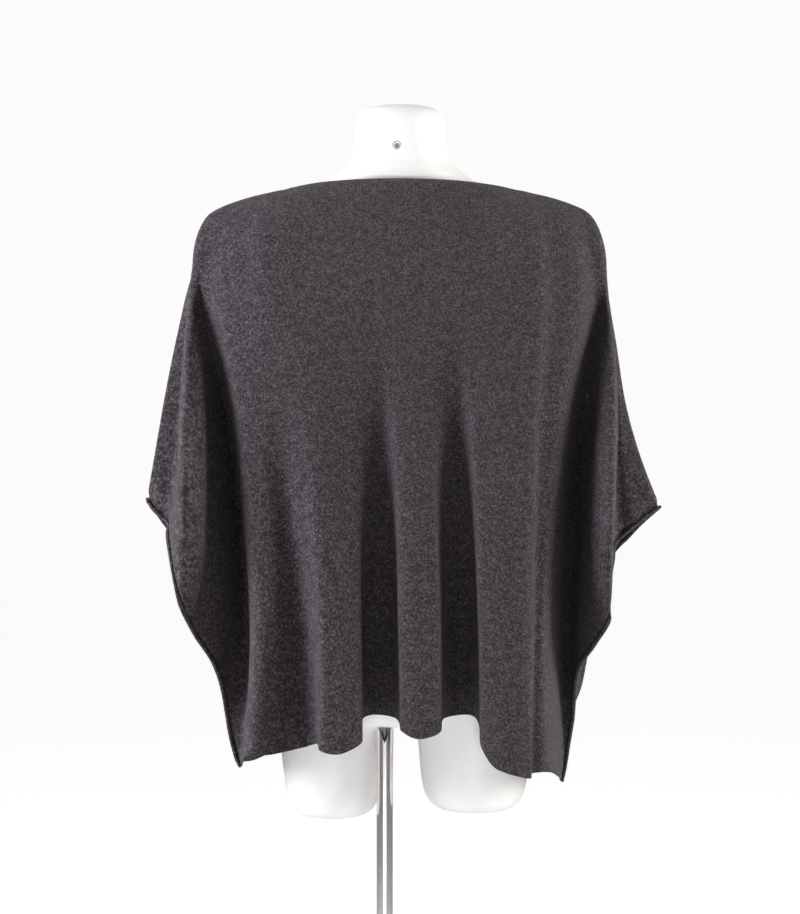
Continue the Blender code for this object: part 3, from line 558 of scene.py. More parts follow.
class Nodes:
    """The node tree of a material or the world, with short ways to add and join its nodes."""

    def __init__(self, owner: bpy.types.ID, shader: str = "Principled BSDF") -> None:
        """Take up a tree.

        Args:
            owner: The new material or world.
            shader: The name of its shader node.
        """
        owner.use_nodes = True
        self.owner = owner
        self.tree = owner.node_tree
        self.shader = self.tree.nodes[shader]

    def set(self, **values: object) -> None:
        """Set constants on the shader's own sockets, named with underscores for spaces."""
        for name, value in values.items():
            self.shader.inputs[name.replace("_", " ")].default_value = value

    def join(self, source: object, target: object) -> None:
        """Join an output to an input, or set the input to a constant."""
        if isinstance(source, bpy.types.NodeSocket):
            self.tree.links.new(source, target)
        elif source is not None:
            target.default_value = source

    def add(self, kind: str, *inputs: object, **settings: object) -> bpy.types.Node:
        """Add a node.

        Args:
            kind: The node's type without its ShaderNode prefix.
            *inputs: What its inputs take, in order: an output, a constant, or None to leave one.
            **settings: Properties of the node.

        Returns:
            The new node.
        """
        node = self.tree.nodes.new("ShaderNode" + kind)
        for name, value in settings.items():
            setattr(node, name, value)
        for source, target in zip(inputs, node.inputs):
            self.join(source, target)
        return node

    def math(self, operation: str, *inputs: object) -> bpy.types.NodeSocket:
        """The result of a math node."""
        return self.add("Math", *inputs, operation=operation).outputs[0]

    def noise(self, place: object, scale: float, detail: float, rough: float) -> bpy.types.NodeSocket:
        """Fractal noise between 0 and 1."""
        return self.add("TexNoise", place, None, scale, detail, rough, normalize=True).outputs[0]

    def stretched(self, place: object, scale: Triple) -> bpy.types.NodeSocket:
        """A place scaled along each axis."""
        return self.add("Mapping", place, None, None, scale).outputs[0]

    def paint(self, share: object, low: Triple, high: Triple) -> None:
        """Colour the shader between two colours, by a share."""
        node = self.add("Mix", share, data_type="RGBA")
        self.join((*low, 1.0), node.inputs[6])
        self.join((*high, 1.0), node.inputs[7])
        self.join(node.outputs[2], self.shader.inputs["Base Color"])

    def gloss(self, share: object, spread: float, least: float) -> None:
        """Set the shader's roughness from its least value up by a spread, by a share."""
        rough = self.math("MULTIPLY_ADD", share, spread, least)
        self.join(rough, self.shader.inputs["Roughness"])

    def bump(self, height: object, strength: float, distance: float) -> None:
        """Raise the shaded surface by a height."""
        node = self.add("Bump", strength, distance)
        self.join(height, node.inputs["Height"])
        self.join(node.outputs[0], self.shader.inputs["Normal"])


@dataclass(frozen=True)
class KnitFinish:
    """Fine jersey in a heathered woollen yarn, laid on the cloth's own flat measure."""

    name: str
    cell: Cell
    dark: Triple
    light: Triple
    wale: float = 1.7 * MM
    course: float = 1.3 * MM
    slant: float = 1.1
    purl_arc: float = 0.22
    relief: float = 0.35 * MM
    streaks_per_metre: Triple = (420.0, 330.0, 1.0)
    fibres_per_metre: Triple = (1400.0, 900.0, 1.0)
    clouds_per_metre: float = 110.0
    fleck_share: float = 0.62
    streak_share: float = 1.40
    cloud_share: float = 0.60
    fibre_share: float = 0.35
    contrast: float = 2.0
    leg_roundness: float = 0.7
    knit_roundness: float = 0.5
    purl_roundness: float = 0.6
    fibre_height: float = 0.5
    relief_strength: float = 0.8

    def make(self) -> bpy.types.Material:
        """Build the material."""
        n = Nodes(bpy.data.materials.new(self.name))
        flat = n.add("UVMap").outputs[0]
        axes = n.add("SeparateXYZ", flat).outputs
        across = n.math("DIVIDE", axes[0], self.wale)
        down = n.math("DIVIDE", axes[1], self.course)
        leg = n.math("ABSOLUTE", n.math("SUBTRACT", n.math("FRACT", across), 0.5))
        if self.cell is Cell.KNIT:
            phase = n.math("MULTIPLY_ADD", leg, self.slant, down)
        else:
            arc = n.math("COSINE", n.math("MULTIPLY", across, 2 * math.pi))
            phase = n.math("MULTIPLY_ADD", arc, self.purl_arc, down)
        stitch = n.add("CombineXYZ", n.math("FLOOR", across), n.math("FLOOR", phase)).outputs[0]
        fleck = n.add("TexWhiteNoise", stitch, noise_dimensions="2D").outputs[0]
        streak = n.noise(n.stretched(flat, self.streaks_per_metre), 1.0, 2.0, 0.7)
        cloud = n.noise(flat, self.clouds_per_metre, 2.0, 0.6)
        fibre = n.noise(n.stretched(flat, self.fibres_per_metre), 1.0, 1.0, 0.5)
        heather = 0.5
        for part, share in (
            (fleck, self.fleck_share),
            (streak, self.streak_share),
            (cloud, self.cloud_share),
            (fibre, self.fibre_share),
        ):
            heather = n.math("MULTIPLY_ADD", n.math("SUBTRACT", part, 0.5), share, heather)
        shade = n.math("POWER", n.add("Clamp", heather).outputs[0], self.contrast)
        n.paint(shade, self.dark, self.light)
        turn = n.math("SINE", n.math("MULTIPLY", n.math("FRACT", phase), math.pi))
        if self.cell is Cell.KNIT:
            round_leg = n.math("SINE", n.math("MULTIPLY", leg, 2 * math.pi))
            height = n.math(
                "MULTIPLY",
                n.math("POWER", round_leg, self.leg_roundness),
                n.math("POWER", turn, self.knit_roundness),
            )
        else:
            height = n.math("POWER", turn, self.purl_roundness)
        height = n.math("MULTIPLY_ADD", fibre, self.fibre_height, height)
        n.bump(height, self.relief_strength, self.relief)
        n.set(
            Roughness=0.95, Specular_IOR_Level=0.15, Sheen_Weight=0.10, Sheen_Roughness=0.45,
            Sheen_Tint=(0.95, 0.90, 0.95, 1.0),
        )
        return n.owner


@dataclass(frozen=True)
class FibreFinish:
    """Loose wool fibre that stands out of the cloth, each fibre in its own shade, with a painted highlight
    towards its tip.
    """

    name: str = "wool_fibre"
    dark: Triple = (0.060, 0.052, 0.056)
    light: Triple = (0.260, 0.235, 0.240)
    shades: float = 1000.0
    contrast: float = 2.2
    # How much lighter each fibre is painted at its tip: a painted highlight, not the fibre's own colour.
    tip_painted_highlight: float = 0.25

    def make(self) -> bpy.types.Material:
        """Build the material."""
        n = Nodes(bpy.data.materials.new(self.name))
        fibre = n.add("SeparateXYZ", n.add("UVMap").outputs[0]).outputs
        shade = n.add("TexWhiteNoise", noise_dimensions="1D")
        n.join(n.math("MULTIPLY", fibre[0], self.shades), shade.inputs["W"])
        own = n.math("POWER", shade.outputs[0], self.contrast)
        # Each fibre is painted lighter from root to tip: a painted highlight where the tips catch the
        # light.
        n.paint(n.math("MULTIPLY_ADD", fibre[1], self.tip_painted_highlight, own), self.dark, self.light)
        n.set(Roughness=0.8, Specular_IOR_Level=0.3)
        return n.owner


@dataclass(frozen=True)
class ShellFinish:
    """White moulded shell with a soft gloss."""

    name: str = "moulded_shell"
    colour: Triple = (0.93, 0.925, 0.92)
    worn: Triple = (0.91, 0.905, 0.895)
    clouds_per_metre: float = 9.0
    ripples_per_metre: float = 900.0
    ripple_height: float = 0.2 * MM
    ripple_strength: float = 0.08
    roughness: float = 0.34
    roughness_spread: float = 0.14

    def make(self) -> bpy.types.Material:
        """Build the material."""
        n = Nodes(bpy.data.materials.new(self.name))
        place = n.add("TexCoord").outputs["Object"]
        cloud = n.noise(place, self.clouds_per_metre, 3.0, 0.5)
        n.paint(cloud, self.worn, self.colour)
        n.gloss(cloud, self.roughness_spread, self.roughness)
        ripple = n.noise(place, self.ripples_per_metre, 2.0, 0.6)
        n.bump(ripple, self.ripple_strength, self.ripple_height)
        n.set(Coat_Weight=0.15, Coat_Roughness=0.25)
        return n.owner


@dataclass(frozen=True)
class MetalFinish:
    """Polished or brushed metal."""

    name: str
    colour: Triple
    roughness: float
    grain_per_metre: Triple
    grain_height: float
    grain_strength: float = 0.15
    films_per_metre: float = 35.0
    film_roughness: float = 0.08
    film_shade: float = 0.93

    def make(self) -> bpy.types.Material:
        """Build the material."""
        n = Nodes(bpy.data.materials.new(self.name))
        place = n.add("TexCoord").outputs["Object"]
        lines = n.noise(n.stretched(place, self.grain_per_metre), 1.0, 3.0, 0.6)
        film = n.noise(place, self.films_per_metre, 4.0, 0.6)
        n.gloss(film, self.film_roughness, self.roughness)
        n.paint(film, tuple(self.film_shade * c for c in self.colour), self.colour)
        n.bump(lines, self.grain_strength, self.grain_height)
        n.set(Metallic=1.0)
        return n.owner


# ---------------------------------------------------------------- garment


@dataclass(frozen=True)
class ClothSizes:
    """Sizes of the jersey's wall, edges, hems and neck, and how its rows and creases are laid."""

    wall: float = 1.2 * MM
    seam_gap: float = 0.3 * MM
    curl_radius: float = 2.2 * MM
    curl_tightening: float = 1.25 * MM
    curl_turns: float = 1.15
    curl_reach: float = 2.6 * MM
    curl_dip: float = 9.0 * MM
    hem_reach: float = 1.5 * MM
    hem_blend: float = 0.12
    neck_half: float = 0.135
    neck_middle: float = 0.7
    neck_roundness: float = 0.75
    neck_back_depth: float = 0.066
    neck_front_depth: float = 0.086
    neck_front_drop: float = 0.022
    neck_drop_power: float = 2.5
    tension: float = 0.6
    round_at_neck: float = 0.35
    arch_steps: tuple[float, ...] = (0.02, 0.10, 0.28, 0.58)
    rows: int = 118
    crowding: float = 0.4
    first_rows: tuple[float, ...] = (0.0004, 0.0009)
    curl_rows: int = 18
    curl_flat_rows: int = 2
    column_pitch: float = 5.3 * MM
    least_columns: int = 8
    top_taper: tuple[float, ...] = (0.45, 0.75, 0.93)
    seam_taper: tuple[float, ...] = (0.75, 0.9, 1.0)
    tip_share: float = 0.06
    last_share: float = 0.5
    edge_pull: int = 3
    top_pull: int = 6
    crease_steps: int = 60
    crease_swell: float = 0.8
    crease_clear_top: float = 0.06
    crease_clear_edge: float = 0.02
    crease_at_edge: float = 0.4
    crease_clear_seam: float = 0.5


@dataclass
class Panel:
    """One panel of the garment, cut in one piece from wing to wing."""

    name: str
    node: str
    side: Side
    folds: tuple[Fold, ...]
    edge: tuple[Edge, ...]
    creases: tuple[Crease, ...]
    sizes: ClothSizes
    seed: int
    middle: np.ndarray = field(init=False)
    normals: np.ndarray = field(init=False)
    outer: np.ndarray = field(init=False)
    shown: np.ndarray = field(init=False)
    shown_out: np.ndarray = field(init=False)

    @property
    def fractions(self) -> np.ndarray:
        """Shares of the drop at which the panel's rows lie, closest at the top and the edge."""
        t = np.linspace(0.0, 1.0, self.sizes.rows + 1)
        rows = t - self.sizes.crowding * np.sin(2 * math.pi * t) / (2 * math.pi)
        return np.insert(rows, 1, self.sizes.first_rows)

    @property
    def places(self) -> np.ndarray:
        """Places across the panel, counted in folds, about one pitch apart on the lower edge."""
        edge = np.array(self.edge)
        places = [0.0]
        for k in range(int(edge[-1, 0])):
            stretch = edge[(edge[:, 0] >= k - 1e-6) & (edge[:, 0] <= k + 1 + 1e-6)][:, 1:]
            pitches = round(chord_knots(stretch)[-1] / self.sizes.column_pitch)
            count = max(self.sizes.least_columns, pitches)
            places += [k + (i + 1) / count for i in range(count)]
        return np.array(places)

    def top_point(self, x: float) -> np.ndarray:
        """The point of the top line at x."""
        s = self.sizes
        line = np.array(sorted(TOP_LINE))
        z = float(smooth_curve(line[:, 0], line[:, 1:], [x])[0, 0])
        bow = (1.0 - min(abs(x) / s.neck_half, 1.0) ** 2) ** s.neck_roundness
        if self.side is Side.BACK:
            return np.array([x, s.neck_back_depth * bow, z])
        lowered = z - s.neck_front_drop * bow**s.neck_drop_power
        return np.array([x, -s.neck_front_depth * bow, lowered])

    def fold_line(self, fold: Fold, end: np.ndarray) -> np.ndarray:
        """Points down one fold line from the top line to its end on the lower edge."""
        s = self.sizes
        top = self.top_point(fold.top_x)
        fifths = ((fold.x1, fold.y1), (fold.x2, fold.y2), (fold.x3, fold.y3), (fold.x4, fold.y4))
        drop = end[2] - top[2]
        points = [np.array([x, y, top[2] + drop * (k + 1) / 5]) for k, (x, y) in enumerate(fifths)]
        past_middle = (abs(fold.top_x) / s.neck_half - s.neck_middle) / (1 - s.neck_middle)
        over = min(max(past_middle, 0.0), 1.0)
        roundness = s.round_at_neck + (1 - s.round_at_neck) * over
        bend = []
        for t in s.arch_steps:
            out = roundness * math.sqrt(1 - (1 - t) ** 2) + (1 - roundness) * t
            bend.append(top + (points[0] - top) * np.array([out, out, t]))
        return even_points(np.array([top, *bend, *points, end]), self.fractions)

    def fold_lines(self) -> np.ndarray:
        """The fold lines of the panel, as rows of points, from its left seam to its right seam."""
        edge = np.array(self.edge)
        ends = edge[np.isclose(edge[:, 0], np.round(edge[:, 0]))][:, 1:]
        lines = [even_points(np.array(LEFT_WING_SEAM), self.fractions)]
        lines += [self.fold_line(f, end) for f, end in zip(self.folds, ends[1:-1])]
        lines.append(even_points(np.array(RIGHT_WING_SEAM), self.fractions))
        for k, fold in enumerate(self.folds, 1):
            if fold.opens:
                opened = ease(self.fractions / fold.opens)[:, None]
                level = (lines[k - 1] + lines[k + 1]) / 2
                lines[k] = level + (lines[k] - level) * opened
        return np.stack(lines, axis=1)

    def lay(self, lines: np.ndarray, before: np.ndarray, after: np.ndarray) -> None:
        """Lay the panel's middle surface through its fold lines.

        Args:
            lines: The panel's own fold lines.
            before: The neighbouring fold line of the other panel over the left seam.
            after: The same over the right seam.
        """
        edge = np.array(self.edge)
        places = self.places
        rows = []
        for row, left, right in zip(lines, before, after):
            stations = np.vstack([left, row, right])
            knots = chord_knots(stations, self.sizes.tension)
            whole = np.minimum(places.astype(int), len(row) - 2)
            at = knots[whole + 1] + (places - whole) * (knots[whole + 2] - knots[whole + 1])
            rows.append(smooth_curve(knots, stations, at))
        surface = np.array(rows)
        low = smooth_curve(edge[:, 0], edge[:, 1:], places)
        tops = [LEFT_WING_SEAM[0][0], *(f.top_x for f in self.folds), RIGHT_WING_SEAM[0][0]]
        top_x = np.interp(places, np.arange(len(tops)), tops)
        high = np.array([self.top_point(x) for x in top_x])
        down = self.fractions[:, None, None]
        surface += (low - surface[-1]) * down**self.sizes.edge_pull
        surface += (high - surface[0]) * (1 - down) ** self.sizes.top_pull
        self.middle = surface
        self.normals = self.grid_normals()

    def grid_normals(self) -> np.ndarray:
        """Unit normals of the middle surface, out of the garment."""
        along = np.gradient(self.middle, axis=1)
        down = np.gradient(self.middle, axis=0)
        return self.side.value * unit(np.cross(down, along))

    def press_creases(self) -> None:
        """Move the middle surface by its soft creases and lay the normals again."""
        s, places, drops = self.sizes, self.places, self.fractions
        lift = np.zeros(self.middle.shape[:2])
        t = np.linspace(0.0, 1.0, s.crease_steps)
        for c in self.creases:
            drop = c.start_drop + (c.end_drop - c.start_drop) * t
            place = c.start_fold + (c.end_fold - c.start_fold) * t
            row = np.interp(drop, drops, np.arange(len(drops)))
            col = np.interp(place, places, np.arange(len(places)))
            line = self.middle[np.rint(row).astype(int), np.rint(col).astype(int)]
            best = np.full(lift.shape, 1.0)
            share = np.zeros(lift.shape)
            for point, at in zip(line, t):
                apart = np.linalg.norm(self.middle - point, axis=2)
                nearer = apart < best
                best[nearer] = apart[nearer]
                share[nearer] = at
            swell = np.sin(math.pi * np.clip(share, 0.0, 1.0)) ** s.crease_swell
            lift += c.height * swell * np.exp(-((best / c.width) ** 2))
        from_top = ease(drops / s.crease_clear_top)
        from_edge = ease((1 - drops) / s.crease_clear_edge + s.crease_at_edge)
        from_seam = ease(np.minimum(places, places[-1] - places) / s.crease_clear_seam)
        lift *= (from_top * from_edge)[:, None] * from_seam[None, :]
        self.middle += self.normals * lift[:, :, None]
        self.normals = self.grid_normals()

    def curl_share(self) -> np.ndarray:
        """How far each column's edge is curled: 1 along the armholes and 0 along the hem."""
        places = self.places
        strips = next(k for k, f in enumerate(self.folds, 1) if f.name.endswith("wing valley"))
        into_hem = np.minimum(places - strips, places[-1] - strips - places)
        return ease(1.0 - into_hem / self.sizes.hem_blend)

    def sheet_rows(self) -> tuple[np.ndarray, np.ndarray, np.ndarray]:
        """The whole sheet: the middle surface, then the rows that curl or end its lower edge.

        Returns:
            Points and normals by row and column, and each point's share of the wall.
        """
        s = self.sizes
        middle, normals = self.middle.copy(), self.normals.copy()
        share = self.curl_share()
        run = np.gradient(middle[-1], axis=0)
        run[0] = run[-1] = (0.0, 1.0, 0.0)
        run = unit(run)
        face = unit(normals[-1] - run * np.sum(normals[-1] * run, axis=1, keepdims=True))
        out = np.cross(run, face)
        out *= np.sign(np.sum(out * (middle[-1] - middle[-2]), axis=1, keepdims=True))
        to_edge = np.cumsum(np.linalg.norm(np.diff(middle[::-1], axis=0), axis=2), axis=0)[::-1]
        to_edge = np.vstack([to_edge, np.zeros((1, len(share)))])
        dip = ease(1.0 - to_edge / s.curl_dip) * share * s.curl_radius
        middle -= face[None] * dip[:, :, None]
        rows, row_normals = [], []
        turning_rows = s.curl_rows - s.curl_flat_rows
        for k in range(1, s.curl_rows + 1):
            turned_share = max(0, k - s.curl_flat_rows) / turning_rows
            angle = share * s.curl_turns * 2 * math.pi * turned_share
            radius = s.curl_radius - s.curl_tightening * angle / (2 * math.pi)
            reach = share * s.curl_reach * min(k / s.curl_flat_rows, 1.0)
            reach = reach + (1 - share) * s.hem_reach * k / s.curl_rows
            x = reach + radius * np.sin(angle)
            y = np.where(angle > 0, s.curl_radius - radius * np.cos(angle), 0.0)
            y -= share * s.curl_radius
            rows.append(self.middle[-1] + out * x[:, None] + face * y[:, None])
            row_normals.append(unit(face * np.cos(angle)[:, None] - out * np.sin(angle)[:, None]))
        points = np.concatenate([middle, np.array(rows)])
        directions = np.concatenate([normals, np.array(row_normals)])
        shares = np.ones(points.shape[:2])
        tapered = len(s.top_taper)
        shares[:tapered] = np.array(s.top_taper)[:, None]
        seamed = np.isclose(self.middle[0, :, 1], self.side.value * s.seam_gap / 2, atol=1e-5)
        shares[:tapered, seamed] = np.array(s.seam_taper)[:, None]
        last = s.hem_reach * (np.arange(s.curl_rows, -1, -1) / s.curl_rows)
        short = 1 - np.minimum(last / (s.wall / 2), 1.0)
        rounding = np.sqrt(np.clip(1 - short**2, s.tip_share, 1.0))
        tail = rounding[:, None] * (1 - share) + share
        shares[-len(rounding):] *= tail
        shares[-1] *= s.last_share
        return points, directions, shares

    def build(self, finishes: list[bpy.types.Material]) -> bpy.types.Object:
        """Make the panel's closed cloth wall.

        Args:
            finishes: The cloth's outer and inner materials.

        Returns:
            The finished piece.
        """
        s = self.sizes
        points, directions, shares = self.sheet_rows()
        rows, columns = points.shape[:2]
        bm = bmesh.new()
        place = bm.verts.layers.int.new("place")
        bmesh.ops.create_grid(bm, x_segments=columns - 1, y_segments=rows - 1, size=0.5)
        for v in bm.verts:
            i = round((v.co.y + 0.5) * (rows - 1))
            j = round((v.co.x + 0.5) * (columns - 1))
            v[place] = i * columns + j
            v.co = points[i, j]
        flat = self.flat_measure(bm, place, points)
        uv = bm.loops.layers.uv.new("flat")
        for face in bm.faces:
            for loop in face.loops:
                loop[uv].uv = flat[loop.vert[place]]
        offset = directions * (shares * s.wall / 2)[:, :, None]
        outer = (points + offset).reshape(-1, 3)
        inner = (points - offset).reshape(-1, 3)
        grown = bmesh.ops.extrude_face_region(bm, geom=bm.faces[:])
        lifted = {g for g in grown["geom"] if isinstance(g, bmesh.types.BMVert)}
        faces = {g for g in grown["geom"] if isinstance(g, bmesh.types.BMFace)}
        for v in bm.verts:
            v.co = (outer if v in lifted else inner)[v[place]]
        for face in bm.faces:
            face.material_index = 0 if face in faces else 1
            face.smooth = True
        bmesh.ops.recalc_face_normals(bm, faces=bm.faces)
        mesh = to_mesh(bm, self.name)
        self.outer = outer.reshape(points.shape)
        self.shown, self.shown_out = self.outer.copy(), directions.copy()
        self.shown[-s.curl_rows:] = inner.reshape(points.shape)[-s.curl_rows:]
        self.shown_out[-s.curl_rows:] *= -1
        return add_piece(self.name, mesh, finishes, "knit", self.node)

    def flat_measure(
        self, bm: bmesh.types.BMesh, place: bmesh.types.BMLayerItem, points: np.ndarray
    ) -> np.ndarray:
        """Unroll the sheet, so that its stitches keep their size and run as they were knitted.

        Args:
            bm: The sheet as one open grid.
            place: The layer with each point's row and column.
            points: The sheet's points by row and column.

        Returns:
            The flat place of each point in metres, across and up from the middle of the top line.
        """
        mesh = bpy.data.meshes.new("sheet")
        bm.to_mesh(mesh)
        sheet = linked("sheet", mesh)
        bpy.context.view_layer.objects.active = sheet
        sheet.select_set(True)
        bpy.ops.object.mode_set(mode="EDIT")
        bpy.ops.mesh.select_all(action="SELECT")
        bpy.ops.uv.unwrap(method="CONFORMAL", margin=0.0)
        bpy.ops.object.mode_set(mode="OBJECT")
        spots = read_all(mesh.uv_layers.active.data, "uv", np.float32, 2)
        owner = read_all(mesh.loops, "vertex_index")
        order = read_all(mesh.attributes["place"].data, "value")
        flat = np.zeros((len(order), 2))
        flat[order[owner]] = spots.reshape(-1, 2)
        bpy.data.objects.remove(sheet, do_unlink=True)
        grid = flat.reshape(*points.shape[:2], 2)
        middle = int(np.argmin(np.abs(points[0, :, 0])))
        plumb = unit(grid[0, middle] - grid[-1, middle])
        drop = np.linalg.norm(np.diff(points[:, middle], axis=0), axis=1).sum()
        scale = drop / np.linalg.norm(grid[0, middle] - grid[-1, middle])
        across = np.array([plumb[1], -plumb[0]])
        level = grid - grid[0, middle]
        flat = np.stack([level @ across, level @ plumb], axis=-1) * scale
        flat[..., 0] *= np.sign(flat[0, 0, 0] - flat[0, -1, 0])
        return flat.reshape(-1, 2)


@dataclass(frozen=True)
class Halo:
    """Short loose fibres that stand out of a panel's shown face, as bent blades."""

    finish: bpy.types.Material
    count: int = 52000
    shortest: float = 1.4 * MM
    longest: float = 4.6 * MM
    width: float = 0.09 * MM
    narrowing: float = 0.8
    rise: float = 0.75
    bend: float = 0.9
    dip: float = 0.2
    fall: float = 0.25

    def build(self, panel: Panel) -> bpy.types.Object:
        """Strew the fibres evenly over a panel.

        Args:
            panel: A panel that has been built.

        Returns:
            The finished piece, one mesh of loose blades.
        """
        rng = np.random.default_rng(panel.seed)
        points, out = panel.shown, panel.shown_out
        down, along = np.diff(points[:, :-1], axis=0), np.diff(points[:-1], axis=1)
        areas = np.linalg.norm(np.cross(down, along), axis=2)
        areas[len(areas) - panel.sizes.curl_rows] = 0.0
        cell = rng.choice(areas.size, self.count, p=areas.ravel() / areas.sum())
        i, j = np.divmod(cell, areas.shape[1])
        s, t = rng.random((2, self.count, 1))
        root, normal = (
            (grid[i, j] * (1 - s) + grid[i + 1, j] * s) * (1 - t)
            + (grid[i, j + 1] * (1 - s) + grid[i + 1, j + 1] * s) * t
            for grid in (points, out)
        )
        length = self.shortest + (self.longest - self.shortest) * rng.random((self.count, 1)) ** 2
        lean = rng.normal(size=(self.count, 3))
        lean = unit(lean - normal * np.sum(lean * normal, axis=1, keepdims=True))
        rise = self.rise * rng.random((self.count, 1)) ** 1.5
        start = unit(lean + normal * rise)
        turn = unit(start + self.bend * rng.normal(size=(self.count, 3)) + (0.0, 0.0, -self.fall))
        turn -= normal * np.minimum(np.sum(turn * normal, axis=1, keepdims=True) + self.dip, 0.0)
        middle = root + start * length * 0.5
        tip = middle + turn * length * 0.5
        broad = unit(np.cross(start, rng.normal(size=(self.count, 3)))) * self.width / 2
        narrow = self.narrowing * broad
        blade = [root - broad, root + broad, middle + narrow, middle - narrow, tip]
        corners = np.stack(blade, axis=1)
        first = 5 * np.arange(self.count)[:, None]
        faces = [*(first + (0, 1, 2, 3)).tolist(), *(first + (3, 2, 4)).tolist()]
        mesh = bpy.data.meshes.new(panel.name + "_fuzz")
        mesh.from_pydata(corners.reshape(-1, 3), [], faces)
        uv = mesh.uv_layers.new(name="fibre")
        owner = read_all(mesh.loops, "vertex_index")
        along_fibre = np.array([0.0, 0.0, 0.5, 0.5, 1.0])[owner % 5]
        uv.data.foreach_set("uv", np.stack([(owner // 5) / self.count, along_fibre], axis=1).ravel())
        return add_piece(mesh.name, mesh, [self.finish], "knit")


@dataclass
class Garment:
    """The poncho: a back and a front panel, and the fibre that stands out of them."""

    sizes: ClothSizes = field(default_factory=ClothSizes)

    def build(self) -> None:
        """Lay and dress both panels, and strew fibre over them."""
        finishes = [finish.make() for finish in (
            KnitFinish("heather_knit", Cell.KNIT, (0.0315, 0.0268, 0.0298), (0.177, 0.1505, 0.167)),
            KnitFinish("heather_purl", Cell.PURL, (0.0300, 0.0268, 0.0302), (0.165, 0.1490, 0.168)),
        )]
        back = Panel(
            "back_cloth", "back_panel", Side.BACK,
            BACK_FOLDS, BACK_EDGE, BACK_CREASES, self.sizes, seed=11,
        )
        front = Panel(
            "front_cloth", "front_panel", Side.FRONT,
            FRONT_FOLDS, FRONT_EDGE, FRONT_CREASES, self.sizes, seed=12,
        )
        halo = Halo(FibreFinish().make())
        lines = {panel.name: panel.fold_lines() for panel in (back, front)}
        for panel, other in ((back, front), (front, back)):
            beyond = lines[other.name]
            panel.lay(lines[panel.name], beyond[:, 1], beyond[:, -2])
        self.share_seams(back, front)
        for panel in (back, front):
            panel.press_creases()
        self.share_seams(back, front)
        for panel in (back, front):
            panel.middle[..., 1] += panel.side.value * self.sizes.seam_gap / 2
            piece = panel.build(finishes)
            fuzz = halo.build(panel)

    @staticmethod
    def area(points: np.ndarray) -> float:
        """Area of a grid of points."""
        down = points[1:, :-1] - points[:-1, :-1]
        along = points[:-1, 1:] - points[:-1, :-1]
        return float(np.linalg.norm(np.cross(down, along), axis=2).sum())

    def share_seams(self, back: Panel, front: Panel) -> None:
        """Give the two panels one direction at each seam."""
        for column in (0, -1):
            both = unit(back.normals[:, column] + front.normals[:, column])
            for panel in (back, front):
                panel.normals[:, column] = both
        for panel in (back, front):
            shoulder = np.isclose(panel.middle[0, :, 1], 0.0, atol=1e-5)
            panel.normals[0, shoulder, 1] = 0.0
            panel.normals[0] = unit(panel.normals[0])


# ---------------------------------------------------------------- form and stand


